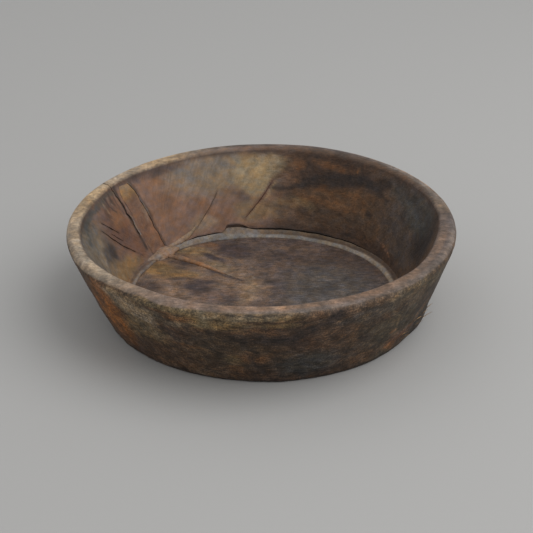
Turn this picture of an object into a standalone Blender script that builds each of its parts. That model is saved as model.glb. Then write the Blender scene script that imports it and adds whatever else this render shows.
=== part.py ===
"""Carved wooden bowl: one hollowed block of wood and the filler pieces that repair and seal it.

Run with: blender --background --python part.py
Metres, +Z up. The origin is the centre of the foot, on the plane the bowl rests on, and +X is azimuth 0.
Everything is shaped first on an ideal turned bowl, and distorted() then gives every piece the same warp
that the drying block took: a rim that is slightly out of round, slightly wavy and leans off the foot.
"""

import math

import bmesh
import bpy
from mathutils import Matrix, Vector

# Driving dimensions of the bowl, in metres.
RIM_RADIUS = 0.1400
RIM_HEIGHT = 0.0679
RIM_THICKNESS = 0.0127
RIM_OUTER_ROUND = 0.0042
RIM_INNER_ROUND = 0.0034
FOOT_RADIUS = 0.1144
FOOT_ROUND = 0.0036
WALL_BELLY = 0.0008
FLOOR_THICKNESS = 0.0084
FLOOR_RADIUS = 0.1001
TURNED_STEPS = 96
SHARP_ANGLE = 35

# Vertices closer than this are one: at the seam of a turned shape, and after each cut.
SEAM_WELD = 0.00001
CUT_WELD = 0.000002

# How far the inner and outer wall lean out from upright.
INNER_SLOPE = math.atan((RIM_RADIUS - RIM_THICKNESS - FLOOR_RADIUS) / (RIM_HEIGHT - FLOOR_THICKNESS))
OUTER_SLOPE = math.atan((RIM_RADIUS - FOOT_RADIUS) / (RIM_HEIGHT - RIM_OUTER_ROUND))

# How the block warped as it dried. Harmonics are (cosine, sine) amplitudes by turns round the bowl.
ROUNDNESS_HARMONICS = {2: (-0.0067, 0.0023), 3: (-0.0083, 0.0063)}
FOOT_ROUNDNESS_SHARE = 0.3
RIM_LIFT_HARMONICS = {1: (0.0012, 0.0027), 2: (-0.0013, -0.0007)}
RIM_LEAN = (-0.0006, -0.0022)

# Filler pieces sit in sockets this much larger all round, and a socket reaches this far out of the wood.
SOCKET_GAP = 0.0003
SOCKET_CLEARANCE = 0.0040
# The thin edges of the corner fillers stop this far off the wood.
FEATHER_EDGE = 0.0002

# The bead that seals the corner between the wall and the floor.
BEAD_TOE_RADIUS = 0.0935
BEAD_TOP_HEIGHT = 0.0118
BEAD_CROWN = 0.0005
BEAD_REBATE = 0.0020

# The patch where the splits meet in that corner.
PATCH_AZIMUTH = 141.0
PATCH_TOE_RADIUS = 0.0905
PATCH_TOP_HEIGHT = 0.0165
PATCH_CROWN = 0.0010
PATCH_REBATE = 0.0028
PATCH_HALF_SIZE = (0.0120, 0.0150, 0.0120)
PATCH_LIFT = 0.0010

# The filler strip let into the inner wall, from the rim's inner edge down to the patch.
STRIP_AZIMUTH = 144.5
STRIP_DEPTH = 0.0045
STRIP_TOP_HEIGHT = 0.0640
STRIP_FOOT_HEIGHT = 0.0105
STRIP_PROUD = 0.0002
# The outline below is cut through the wall this far, at this radius.
STRIP_CUT_DEPTH = 0.0500
STRIP_CUT_RADIUS = 0.1160
# Its outline as (offset along the wall towards higher azimuth, height).
STRIP_OUTLINE = (
    (0.0088, 0.0700), (0.0108, 0.0570), (0.0102, 0.0480), (0.0080, 0.0380), (0.0066, 0.0270),
    (0.0043, 0.0120), (-0.0120, 0.0120), (-0.0096, 0.0210), (-0.0081, 0.0300), (-0.0065, 0.0390),
    (-0.0049, 0.0480), (-0.0032, 0.0580), (-0.0009, 0.0700),
)

# Paths on the bowl: (azimuth in degrees, height or radius in metres, half width in metres).
SPLIT_BESIDE_STRIP = (
    (151.6, 0.0620, 0.0006), (151.3, 0.0540, 0.0011), (151.5, 0.0430, 0.0012), (150.6, 0.0320, 0.0011),
    (149.4, 0.0240, 0.0009), (148.9, 0.0195, 0.0005),
)
CHECK_FILL_PATH = (
    (134.5, 0.0142, 0.0020), (129.5, 0.0152, 0.0019), (125.0, 0.0165, 0.0016), (121.0, 0.0196, 0.0009),
)
FLOOR_SPLIT_PATH = (
    (139.6, 0.0870, 0.0022), (138.0, 0.0740, 0.0021), (137.0, 0.0620, 0.0018), (135.4, 0.0500, 0.0014),
    (134.2, 0.0400, 0.0010), (131.0, 0.0290, 0.0005),
)
# Open drying checks in the inner wall, as narrow grooves.
OPEN_CHECKS = {
    "back_low": (
        (118.6, 0.0222, 0.0005), (114.4, 0.0290, 0.0006), (111.4, 0.0355, 0.0006), (108.9, 0.0415, 0.0004),
    ),
    "back_high": (
        (99.2, 0.0205, 0.0005), (95.7, 0.0255, 0.0007), (92.8, 0.0300, 0.0008), (86.5, 0.0460, 0.0004),
    ),
    "left_long": (
        (170.4, 0.0485, 0.0005), (167.1, 0.0395, 0.0007), (162.7, 0.0305, 0.0008), (156.5, 0.0225, 0.0006),
        (153.6, 0.0185, 0.0004),
    ),
    "left_short": ((166.8, 0.0513, 0.0005), (163.2, 0.0445, 0.0009), (160.0, 0.0386, 0.0005)),
}
# The gap that opens under the wall above the bead, widest at the back.
UNDERCUT_FOOT_HEIGHT = 0.0124
UNDERCUT_SETBACK = 0.0014
UNDERCUT_PATH = (
    (108.0, 0.0005), (105.0, 0.0012), (101.0, 0.0015), (96.0, 0.0009), (88.0, 0.0007), (72.0, 0.0006),
    (54.0, 0.0005), (36.0, 0.0004),
)
# The hairline split that crosses the rim and runs down the outside.
RIM_SPLIT_AZIMUTH = 151.6
RIM_SPLIT_WIDTH = 0.0005
RIM_SPLIT_INNER_HEIGHT = 0.0590
RIM_SPLIT_OUTER_HEIGHTS = (0.0520, 0.0360)
# Heights of the section's points along the straight walls.
INNER_WALL_HEIGHTS = (0.0280, 0.0480)
OUTER_WALL_HEIGHTS = (0.0475, 0.0340, 0.0190)

COLOURS = {
    "aged_wood": ((0.105, 0.066, 0.043, 1.0), 0.62),
    "pale_filler": ((0.250, 0.225, 0.205, 1.0), 0.75),
    "brown_filler": ((0.215, 0.135, 0.095, 1.0), 0.70),
}


# ---------------------------------------------------------------- the ideal bowl and its warp


def inner_radius(height):
    """Radius of the inner wall, a straight taper from the floor to the rim."""
    share = (height - FLOOR_THICKNESS) / (RIM_HEIGHT - FLOOR_THICKNESS)
    return FLOOR_RADIUS + share * (RIM_RADIUS - RIM_THICKNESS - FLOOR_RADIUS)


def outer_radius(height):
    """Radius of the outer wall, a taper with a slight belly that meets the rim's rounding at a tangent."""
    share = height / (RIM_HEIGHT - RIM_OUTER_ROUND)
    top = RIM_RADIUS + RIM_OUTER_ROUND * (1 / math.cos(OUTER_SLOPE) - 1)
    return FOOT_RADIUS + share * (top - FOOT_RADIUS) + WALL_BELLY * math.sin(math.pi * share)


def arc(centre, radius, start, stop, count):
    """Points of an arc in the profile plane, angles in degrees."""
    angles = [math.radians(start + (stop - start) * i / count) for i in range(count + 1)]
    return [(centre[0] + radius * math.cos(a), centre[1] + radius * math.sin(a)) for a in angles]


def polar(azimuth, radius, height):
    """A point from its azimuth in degrees, its radius and its height."""
    angle = math.radians(azimuth)
    return Vector((radius * math.cos(angle), radius * math.sin(angle), height))


def wave(harmonics, angle):
    """The sum of the harmonics, each with its cosine and sine amplitudes, at one angle."""
    return sum(c * math.cos(n * angle) + s * math.sin(n * angle) for n, (c, s) in harmonics.items())


def distorted(point):
    """Where a point of the ideal bowl lies on the real, warped one. The foot and the floor stay flat."""
    angle = math.atan2(point.y, point.x)
    height_share = point.z / RIM_HEIGHT
    wall_share = max(0.0, (point.z - FLOOR_THICKNESS) / (RIM_HEIGHT - FLOOR_THICKNESS))
    roundness_share = FOOT_ROUNDNESS_SHARE + (1 - FOOT_ROUNDNESS_SHARE) * height_share
    stretch = 1 + roundness_share * wave(ROUNDNESS_HARMONICS, angle)
    return Vector((
        point.x * stretch + RIM_LEAN[0] * height_share,
        point.y * stretch + RIM_LEAN[1] * height_share,
        point.z + wall_share * wave(RIM_LIFT_HARMONICS, angle),
    ))


# ---------------------------------------------------------------- helpers


def material(name):
    """The Principled material of one of the COLOURS."""
    colour, roughness = COLOURS[name]
    made = bpy.data.materials.get(name) or bpy.data.materials.new(name)
    made.use_nodes = True
    shader = made.node_tree.nodes["Principled BSDF"]
    shader.inputs["Base Color"].default_value = colour
    shader.inputs["Roughness"].default_value = roughness
    shader.inputs["Metallic"].default_value = 0.0
    return made


def place(name, data, collection):
    """A new object in a collection."""
    made = bpy.data.objects.new(name, data)
    collection.objects.link(made)
    return made


def turned(name, profile, collection, closed=False):
    """A profile of (radius, height) points turned round Z with a Screw modifier."""
    mesh = bpy.data.meshes.new(name)
    edges = [(i, i + 1) for i in range(len(profile) - 1)]
    if closed:
        edges.append((len(profile) - 1, 0))
    mesh.from_pydata([(radius, 0, height) for radius, height in profile], edges, [])
    made = place(name, mesh, collection)
    screw = made.modifiers.new("turn", "SCREW")
    screw.axis = "Z"
    screw.steps = TURNED_STEPS
    screw.render_steps = TURNED_STEPS
    screw.use_merge_vertices = True
    screw.merge_threshold = SEAM_WELD
    return made


def tapered_tube(name, path, collection, extra=0.0):
    """A round tube along (point, radius) pairs, each radius made larger by extra."""
    curve = bpy.data.curves.new(name, "CURVE")
    curve.dimensions = "3D"
    curve.bevel_depth = 1.0
    curve.bevel_resolution = 1
    curve.use_fill_caps = True
    spline = curve.splines.new("POLY")
    spline.points.add(len(path) - 1)
    for control, (point, radius) in zip(spline.points, path):
        control.co = (*point, 1.0)
        control.radius = radius + extra
    return place(name, curve, collection)


def flat_prism(name, outline, depth, offset, collection):
    """A flat outline in X and Y, extruded along Z by depth and grown outwards by offset."""
    curve = bpy.data.curves.new(name, "CURVE")
    curve.dimensions = "2D"
    curve.fill_mode = "BOTH"
    curve.extrude = depth / 2
    curve.offset = offset
    spline = curve.splines.new("POLY")
    spline.points.add(len(outline) - 1)
    for control, (x, y) in zip(spline.points, outline):
        control.co = (x, y, 0.0, 1.0)
    spline.use_cyclic_u = True
    return place(name, curve, collection)


def frozen(source):
    """The object as a plain closed mesh with its modifiers applied, in place of the original."""
    bpy.context.view_layer.update()
    graph = bpy.context.evaluated_depsgraph_get()
    mesh = bpy.data.meshes.new_from_object(source.evaluated_get(graph))
    work = bmesh.new()
    work.from_mesh(mesh)
    bmesh.ops.remove_doubles(work, verts=work.verts, dist=CUT_WELD)
    bmesh.ops.recalc_face_normals(work, faces=work.faces)
    work.to_mesh(mesh)
    work.free()
    name, matrix, collection = source.name, source.matrix_world.copy(), source.users_collection[0]
    bpy.data.objects.remove(source)
    made = place(name, mesh, collection)
    made.matrix_world = matrix
    return made


def combined(target, operation, tool):
    """The closed mesh left when tool cuts target or meets it, in place of the target."""
    step = target.modifiers.new(operation.lower(), "BOOLEAN")
    step.operation = operation
    step.object = tool
    step.solver = "EXACT"
    return frozen(target)


def warp(target):
    """Moves every vertex of a finished piece from the ideal bowl to the warped one."""
    work = bmesh.new()
    work.from_mesh(target.data)
    bmesh.ops.triangulate(work, faces=work.faces)
    for vertex in work.verts:
        vertex.co = distorted(vertex.co)
    work.to_mesh(target.data)
    work.free()


def finish(target, material_name):
    """Gives a finished piece its material and its smooth shading."""
    target.data.materials.clear()
    target.data.materials.append(material(material_name))
    target.data.shade_smooth()
    target.data.set_sharp_from_angle(angle=math.radians(SHARP_ANGLE))


# ---------------------------------------------------------------- the carved block


def rim_section():
    """The section over the rim: two roundings, tangent to their walls, and the flat between them."""
    inner_height = RIM_HEIGHT - RIM_INNER_ROUND
    inner_centre = (inner_radius(inner_height) + RIM_INNER_ROUND / math.cos(INNER_SLOPE), inner_height)
    outer_centre = (RIM_RADIUS - RIM_OUTER_ROUND, RIM_HEIGHT - RIM_OUTER_ROUND)
    inner = arc(inner_centre, RIM_INNER_ROUND, 180 - math.degrees(INNER_SLOPE), 90, 3)
    outer = arc(outer_centre, RIM_OUTER_ROUND, 90, -math.degrees(OUTER_SLOPE), 6)
    return inner + outer


def bowl_profile():
    """The section of the carved block, from the middle of the floor over the rim to that of the foot."""
    foot_centre = (outer_radius(FOOT_ROUND) - FOOT_ROUND, FOOT_ROUND)
    return (
        [(0.0, FLOOR_THICKNESS), (FLOOR_RADIUS, FLOOR_THICKNESS)]
        + [(inner_radius(height), height) for height in INNER_WALL_HEIGHTS]
        + rim_section()
        + [(outer_radius(height), height) for height in OUTER_WALL_HEIGHTS]
        + arc(foot_centre, FOOT_ROUND, 0, -90, 4)
        + [(0.0, 0.0)]
    )


def corner_section(toe_radius, top_height, crown, rebate, grow=0.0):
    """A filler section in the corner of wall and floor: a crowned face, keyed into the wood behind it."""
    toe = (toe_radius, FLOOR_THICKNESS + FEATHER_EDGE)
    top = (inner_radius(top_height) - FEATHER_EDGE, top_height)
    middle = ((toe[0] + top[0]) / 2 - crown, (toe[1] + top[1]) / 2 + crown)
    back = inner_radius(top_height) + rebate
    under = FLOOR_THICKNESS - rebate
    if not grow:
        return [(toe_radius, under), toe, middle, top, (back, top_height), (back, under)]
    return [
        (toe_radius - grow, under - grow), (toe_radius - grow, toe[1] + SOCKET_CLEARANCE),
        (top[0] - SOCKET_CLEARANCE, top_height + grow), (back + grow, top_height + grow),
        (back + grow, under - grow),
    ]


def bead_section(grow=0.0):
    return corner_section(BEAD_TOE_RADIUS, BEAD_TOP_HEIGHT, BEAD_CROWN, BEAD_REBATE, grow)


def patch_shape(name, collection, grow=0.0):
    """The corner patch: its turned section, kept only inside an egg centred on the splits."""
    section = corner_section(PATCH_TOE_RADIUS, PATCH_TOP_HEIGHT, PATCH_CROWN, PATCH_REBATE, grow)
    body = turned(name, section, collection, closed=True)
    bpy.ops.mesh.primitive_uv_sphere_add(segments=24, ring_count=12, radius=1.0)
    egg = bpy.context.object
    egg.name = name + "_egg"
    for holder in egg.users_collection:
        holder.objects.unlink(egg)
    bpy.data.collections["cutters"].objects.link(egg)
    size = [half + grow for half in PATCH_HALF_SIZE]
    turn = Matrix.Rotation(math.radians(PATCH_AZIMUTH), 4, "Z")
    egg.data.transform(Matrix.Diagonal((*size, 1.0)))
    centre = polar(PATCH_AZIMUTH, FLOOR_RADIUS, FLOOR_THICKNESS + PATCH_LIFT)
    egg.matrix_world = Matrix.Translation(centre) @ turn
    return combined(body, "INTERSECT", egg)


def strip_shape(name, collection, grow=0.0):
    """The wall strip: a layer of the inner wall, kept only inside the strip's outline."""
    low, high = STRIP_FOOT_HEIGHT, STRIP_TOP_HEIGHT + grow
    face = -(SOCKET_CLEARANCE if grow else STRIP_PROUD)
    depth = STRIP_DEPTH + grow
    layer = [
        (inner_radius(low) + depth, low), (inner_radius(low) + face, low),
        (inner_radius(high) + face, high), (inner_radius(high) + depth, high),
    ]
    body = turned(name, layer, collection, closed=True)
    # The prism's X runs along the wall, its Y is up and its Z points at the axis of the bowl.
    cutters = bpy.data.collections["cutters"]
    outline = flat_prism(name + "_outline", STRIP_OUTLINE, STRIP_CUT_DEPTH, grow, cutters)
    along = polar(STRIP_AZIMUTH + 90, 1.0, 0.0)
    inwards = along.cross(Vector((0, 0, 1)))
    turn = Matrix((along, Vector((0, 0, 1)), inwards)).transposed().to_4x4()
    outline.matrix_world = Matrix.Translation(polar(STRIP_AZIMUTH, STRIP_CUT_RADIUS, 0.0)) @ turn
    return combined(body, "INTERSECT", frozen(outline))


def on_inner_wall(path):
    """Points and half widths of a path on the inner wall."""
    return [(polar(azimuth, inner_radius(height), height), width) for azimuth, height, width in path]


def on_floor(path):
    """Points and half widths of a path on the floor."""
    return [(polar(azimuth, radius, FLOOR_THICKNESS), width) for azimuth, radius, width in path]


def rim_split_path():
    """The hairline split: up the inner wall, over the rim and down the outside."""
    inner = [(inner_radius(RIM_SPLIT_INNER_HEIGHT), RIM_SPLIT_INNER_HEIGHT)]
    outer = [(outer_radius(h), h) for h in RIM_SPLIT_OUTER_HEIGHTS]
    spots = inner + rim_section() + outer
    return [(polar(RIM_SPLIT_AZIMUTH, radius, height), RIM_SPLIT_WIDTH) for radius, height in spots]


def undercut_path():
    """The gap above the bead, resting on the bead's top all the way."""
    radius = inner_radius(UNDERCUT_FOOT_HEIGHT) + UNDERCUT_SETBACK
    return [(polar(azimuth, radius, UNDERCUT_FOOT_HEIGHT + width), width) for azimuth, width in UNDERCUT_PATH]


# ---------------------------------------------------------------- assembly


def build():
    for old in list(bpy.data.objects):
        bpy.data.objects.remove(old)
    bowl = bpy.data.collections.new("carved_bowl")
    cutters = bpy.data.collections.new("cutters")
    for collection in (bowl, cutters):
        bpy.context.scene.collection.children.link(collection)

    # Sockets for the filler pieces, and the open checks, as cutters.
    patch_socket = patch_shape("patch_socket", cutters, SOCKET_GAP)
    hollows = [
        patch_socket,
        strip_shape("strip_socket", cutters, SOCKET_GAP),
        frozen(turned("bead_socket", bead_section(SOCKET_GAP), cutters, closed=True)),
        frozen(tapered_tube("floor_fill_socket", on_floor(FLOOR_SPLIT_PATH), cutters, SOCKET_GAP)),
        frozen(tapered_tube("check_fill_socket", on_inner_wall(CHECK_FILL_PATH), cutters, SOCKET_GAP)),
        frozen(tapered_tube("edge_fill_socket", on_inner_wall(SPLIT_BESIDE_STRIP), cutters, SOCKET_GAP)),
        frozen(tapered_tube("rim_split", rim_split_path(), cutters)),
        frozen(tapered_tube("undercut", undercut_path(), cutters)),
    ]
    for name, path in OPEN_CHECKS.items():
        hollows.append(frozen(tapered_tube("check_" + name, on_inner_wall(path), cutters)))

    body = frozen(turned("bowl_body", bowl_profile(), bowl))
    for hollow in hollows:
        body = combined(body, "DIFFERENCE", hollow)

    # The fillers. The patch takes precedence: what would run into it stops short of it.
    fillers = [
        strip_shape("wall_strip", bowl),
        frozen(turned("corner_bead", bead_section(), bowl, closed=True)),
        frozen(tapered_tube("floor_split_fill", on_floor(FLOOR_SPLIT_PATH), bowl)),
        frozen(tapered_tube("check_fill", on_inner_wall(CHECK_FILL_PATH), bowl)),
        frozen(tapered_tube("split_edge_fill", on_inner_wall(SPLIT_BESIDE_STRIP), bowl)),
    ]
    fillers = [combined(filler, "DIFFERENCE", patch_socket) for filler in fillers]
    fillers.append(patch_shape("corner_patch", bowl))

    for cutter in cutters.objects:
        cutter.hide_render = True
        cutter.display_type = "WIRE"
    colours = {"bowl_body": "aged_wood", "corner_bead": "pale_filler", "split_edge_fill": "pale_filler"}
    for piece in [body] + fillers:
        warp(piece)
        finish(piece, colours.get(piece.name, "brown_filler"))


build()
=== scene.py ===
"""The looks of the carved wooden bowl: its carved surface, drying checks, repairs and worn finish.

Metres, +Z up, in the frame of the CAD model. Every piece is worked out from the CAD bowl's box:
its rim radius gives the other sizes, and its corner patch gives the knot that the checks radiate
from. Sizes in tables and sizes of noise are in mm on the bowl, and azimuths are in degrees.
"""

import itertools
import math

import bmesh
import bpy
import numpy as np
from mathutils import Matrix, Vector


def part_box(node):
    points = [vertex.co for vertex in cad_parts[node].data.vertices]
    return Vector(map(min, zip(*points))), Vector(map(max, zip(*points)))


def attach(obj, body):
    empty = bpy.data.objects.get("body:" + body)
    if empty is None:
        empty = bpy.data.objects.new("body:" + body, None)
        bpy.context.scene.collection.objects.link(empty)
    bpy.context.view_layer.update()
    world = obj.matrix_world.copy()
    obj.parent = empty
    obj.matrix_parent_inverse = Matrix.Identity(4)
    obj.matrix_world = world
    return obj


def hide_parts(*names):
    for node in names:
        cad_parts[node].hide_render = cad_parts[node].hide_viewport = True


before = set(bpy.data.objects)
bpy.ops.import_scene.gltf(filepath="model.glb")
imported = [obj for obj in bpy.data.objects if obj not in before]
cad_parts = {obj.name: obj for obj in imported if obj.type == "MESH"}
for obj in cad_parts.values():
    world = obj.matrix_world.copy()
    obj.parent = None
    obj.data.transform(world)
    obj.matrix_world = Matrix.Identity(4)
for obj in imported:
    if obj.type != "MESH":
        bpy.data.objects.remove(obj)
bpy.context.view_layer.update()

# ---------------------------------------------------------------- sizes, from the frame

body_low, body_high = (np.array(corner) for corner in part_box("bowl_body"))
patch_low, patch_high = (np.array(corner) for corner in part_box("corner_patch"))

R = float((body_high - body_low)[:2].sum()) / 4
MM = R / 140.0
RIM_HEIGHT = 67.9 * MM
RIM_THICKNESS = 12.7 * MM
RIM_OUTER_ROUND = 4.2 * MM
RIM_INNER_ROUND = 3.4 * MM
FOOT_RADIUS = 114.4 * MM
FOOT_ROUND = 3.6 * MM
WALL_BELLY = 0.8 * MM
FLOOR_HEIGHT = 8.4 * MM
FLOOR_RADIUS = 100.1 * MM
BEAD_TOE = 93.5 * MM
BEAD_TOP = 11.8 * MM
BEAD_REBATE = 2.0 * MM
KNOT = (patch_low + patch_high) / 2
HAIRLINE = 0.12 * MM

# The warp of the dried block, as (cosine, sine) amplitudes by turns round the bowl.
ROUNDNESS = {2: (-0.0067, 0.0023), 3: (-0.0083, 0.0063)}
FOOT_ROUNDNESS_SHARE = 0.3
RIM_LIFT = {1: (1.2 * MM, 2.7 * MM), 2: (-1.3 * MM, -0.7 * MM)}
RIM_LEAN = (-0.6 * MM, -2.2 * MM)

# The torn foot at the right: how far it stands out, where, and up to which height.
FOOT_SPREAD = 3.0 * MM
FOOT_SPREAD_AZIMUTH = math.radians(357)
FOOT_SPREAD_TOP = 24 * MM

# How far the inner and outer wall lean out from upright.
INNER_SLOPE = math.atan((R - RIM_THICKNESS - FLOOR_RADIUS) / (RIM_HEIGHT - FLOOR_HEIGHT))
OUTER_SLOPE = math.atan((R - FOOT_RADIUS) / (RIM_HEIGHT - RIM_OUTER_ROUND))

# The grid of the body: columns round it, and rows of its section.
COLUMNS = 560
FLOOR_ROWS, WALL_ROWS, OUTER_ROWS, FOOT_ROWS, RIM_ROWS = 36, 42, 44, 10, 4
RIM_INSIDE_ROWS, RIM_OUTSIDE_ROWS, FOOT_EDGE_ROWS = 7, 12, 7
BEAD_ROWS = 10
CENTRE_HOLE = 2 * MM
LATTICE = 32
SHARP_ANGLE = math.radians(40)

# The bead round the bowl: azimuth, how far its toe is set back, and how far its top is lowered.
BEAD_COURSE = (
    (0, 1.8, 0.0), (25, 1.8, 0.0), (62, 0.0, 0.0), (94, 0.2, 0.0), (101, 0.2, -2.4),
    (106.5, 0.4, -2.6), (109, 1.2, 0.0), (120, 3.2, 0.3), (138, 3.2, 0.4), (152, 2.5, 1.2),
    (196, 2.3, 1.2), (214, 0.0, 0.0), (300, 0.0, 0.0), (345, 1.8, 0.0),
)

# The drying checks, in upright planes through the knot: (azimuth, height) path, half width, depth.
CHECKS = {
    "check_back_left": (((120.9, 18), (117, 24.5), (113, 31.5), (108.8, 42.5)), 0.22, 0.4),
    "check_back": (((98.3, 20.5), (95, 26.5), (91, 35), (86.6, 47.5)), 0.42, 0.75),
    "check_left_low": (((170.8, 48.8), (167.1, 39.5), (162.6, 30), (156.6, 20.8)), 0.5, 1.4),
    "check_left_high": (((167.8, 52.2), (164.8, 46), (161, 38.6)), 0.55, 1.5),
    "check_left_middle": (((166.2, 42.6), (162.8, 36), (160.4, 32)), 0.38, 1.1),
}
CRACK_HALF_WIDTH, CRACK_DEPTH = 0.62 * MM, 2.8 * MM
RIM_SPLIT_AZIMUTH = math.radians(151.9)
RIM_SPLIT_DEPTH = 2.6 * MM

# The strip's edges as (azimuth, height), from the rim down to the patch, and the split beside it.
STRIP_LEFT = (
    (149.0, 64.2), (149.9, 56.5), (149.6, 48.0), (148.6, 38.0), (147.9, 27.0), (146.6, 15.0),
    (146.0, 11.0),
)
STRIP_RIGHT = (
    (144.9, 64.2), (143.5, 57.5), (142.5, 48.0), (141.5, 39.0), (140.7, 30.0), (139.5, 21.0),
    (138.2, 11.0),
)
SPLIT_LEFT = (
    (152.0, 66.0), (152.0, 60.0), (151.8, 53.0), (151.4, 45.0), (150.9, 36.0), (150.0, 27.0),
    (149.0, 18.5),
)
STRIP_ROWS, STRIP_COLUMNS = 90, 16
STRIP_DEPTH = 4.0 * MM
POCKET_OUT, POCKET_DEPTH = 3.0 * MM, 4.6 * MM

# Across the floor: the fill and the crack beyond it, as (azimuth, radius, half width).
FLOOR_FILL = (
    (140.5, 94.0, 2.2), (138.2, 81.0, 2.6), (136.6, 66.0, 2.3), (135.4, 54.0, 1.7),
    (134.8, 42.0, 0.8),
)
FLOOR_CRACK = ((135.6, 56.0, 0.5), (134.6, 44.0, 0.5), (133.2, 36.0, 0.5), (130.8, 28.0, 0.4))
# The smear that runs up from the patch, as (azimuth, height, half width).
SMEAR = (
    (139.0, 10.5, 1.6), (134.5, 11.5, 2.0), (130.0, 12.8, 2.2), (126.5, 14.4, 2.1),
    (123.3, 16.6, 1.6), (121.0, 19.8, 0.8),
)

# The lump at the knot: half sizes outward, along the wall and up, and its lobes in unit directions.
PATCH_HALF = np.array([7.2, 15.0, 4.6]) * MM
PATCH_LOBES = (((0.75, 0.15, 0.65), 0.5), ((-0.2, 0.9, 0.3), 0.35), ((-0.6, -0.7, 0.2), 0.25))

# Fibres torn loose low on the right of the front: azimuth, height, length, and how far they lift.
LOOSE_FIBRES = (
    (320, 12, 9, 0.20), (324, 6, 8, 0.28), (326, 18, 10, 0.18), (331, 9, 9, 0.34),
    (335, 15, 8, 0.22), (339, 7, 10, 0.40), (343, 12, 7, 0.30),
)
FIBRE_POINTS = 8


# ---------------------------------------------------------------- numbers and shapes


def smooth(value, low, high):
    """0 below low, 1 above high, with a smooth step between; low may be above high."""
    share = np.clip((value - low) / (high - low), 0, 1)
    return share * share * (3 - 2 * share)


def window(value, start, rise, fall, stop):
    """1 from rise to fall and 0 outside start and stop, with smooth steps between."""
    return smooth(value, start, rise) * smooth(value, stop, fall)


def band(value, middle, reach):
    """A soft band that is 1 at the middle and fades within about reach of it."""
    return np.exp(-(((value - middle) / reach) ** 2))


def noise(points, size, seed):
    """Smooth noise from -1 to 1 with features about size mm across."""
    lattice = np.random.default_rng(seed).uniform(-1, 1, (LATTICE, LATTICE, LATTICE))
    place = np.asarray(points) / (size * MM) + 2.0 * LATTICE
    cell = np.floor(place).astype(int)
    part = place - cell
    part = part * part * (3 - 2 * part)
    total = 0
    for corner in itertools.product((0, 1), repeat=3):
        weight = np.prod(np.where(corner, part, 1 - part), axis=-1)
        x, y, z = np.moveaxis((cell + corner) % LATTICE, -1, 0)
        total = total + weight * lattice[x, y, z]
    return total


def fractal(points, size, seed, octaves=3):
    """Noise with finer, weaker noise on top of it."""
    layers = [noise(points, size / 2**k, seed + k) * 0.5**k for k in range(octaves)]
    return sum(layers) / sum(0.5**k for k in range(octaves))


def wave(harmonics, angle):
    return sum(c * np.cos(n * angle) + s * np.sin(n * angle) for n, (c, s) in harmonics.items())


def ring(angle):
    """Points of a level circle of the rim's size, for noise that runs round the bowl."""
    return np.stack([np.cos(angle), np.sin(angle), 0 * angle], axis=-1) * R


def azimuths(points):
    """The azimuths of points in degrees, from -180 to 180."""
    return np.degrees(np.arctan2(points[:, 1], points[:, 0]))


def round_from(degrees, middle):
    """Azimuths within half a turn of the middle one."""
    return (degrees - middle + 180) % 360 - 180 + middle


def apart(degrees, middle):
    """How many degrees azimuths are away from the middle one."""
    return np.abs(round_from(degrees, middle) - middle)


def inner_radius(height):
    share = (height - FLOOR_HEIGHT) / (RIM_HEIGHT - FLOOR_HEIGHT)
    return FLOOR_RADIUS + share * (R - RIM_THICKNESS - FLOOR_RADIUS)


def wall_radius(angle, height):
    """The inner wall's ideal radius, with a wandering rim that is thinner at the two sides."""
    wander = 0.7 * MM * noise(ring(angle), 45, 21) + 0.35 * MM * noise(ring(angle), 12, 22)
    at_sides = 2.0 * MM * smooth(np.abs(np.cos(angle)), 0.55, 0.9)
    wander += at_sides * smooth(np.cos(angle + 0.6), 0.95, 0.75)
    wander += 1.2 * MM * smooth(-np.cos(angle), 0.7, 0.98)
    return inner_radius(height) + wander * smooth(height, RIM_HEIGHT - 26 * MM, RIM_HEIGHT - 3 * MM)


def outer_radius(height):
    share = height / (RIM_HEIGHT - RIM_OUTER_ROUND)
    top = R + RIM_OUTER_ROUND * (1 / math.cos(OUTER_SLOPE) - 1)
    return FOOT_RADIUS + share * (top - FOOT_RADIUS) + WALL_BELLY * np.sin(math.pi * share)


def foot_spread(angle, height):
    """How far the lowest part of the outer wall stands out at the right, where it has torn."""
    near = smooth(np.cos(angle - FOOT_SPREAD_AZIMUTH), 0.90, 0.985)
    return FOOT_SPREAD * near * smooth(height, FOOT_SPREAD_TOP, 3 * MM)


def warped(angle, radius, height):
    """Points of the real, warped bowl, from the azimuth, radius and height on the ideal one."""
    up = height / RIM_HEIGHT
    wall = np.clip((height - FLOOR_HEIGHT) / (RIM_HEIGHT - FLOOR_HEIGHT), 0, None)
    stretch = 1 + (FOOT_ROUNDNESS_SHARE + (1 - FOOT_ROUNDNESS_SHARE) * up) * wave(ROUNDNESS, angle)
    return np.stack([
        radius * np.cos(angle) * stretch + RIM_LEAN[0] * up,
        radius * np.sin(angle) * stretch + RIM_LEAN[1] * up,
        height + wall * wave(RIM_LIFT, angle) + 0 * angle,
    ], axis=-1)


def ideal_radius(points):
    """The radius that points of the warped bowl had on the ideal one."""
    up = points[:, 2] / RIM_HEIGHT
    x, y = points[:, 0] - RIM_LEAN[0] * up, points[:, 1] - RIM_LEAN[1] * up
    share = FOOT_ROUNDNESS_SHARE + (1 - FOOT_ROUNDNESS_SHARE) * up
    return np.hypot(x, y) / (1 + share * wave(ROUNDNESS, np.arctan2(y, x)))


def arc(centre, radius, start, stop, count):
    """Points of an arc in the profile plane, angles in degrees, without its last point."""
    angles = np.radians(np.linspace(start, stop, count, endpoint=False))
    return [(centre[0] + radius * math.cos(a), centre[1] + radius * math.sin(a)) for a in angles]


def line(start, stop, count):
    """Points from start towards stop, without the last one."""
    shares = np.linspace(0, 1, count, endpoint=False)
    return [tuple(a + s * (b - a) for a, b in zip(start, stop)) for s in shares]


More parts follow.
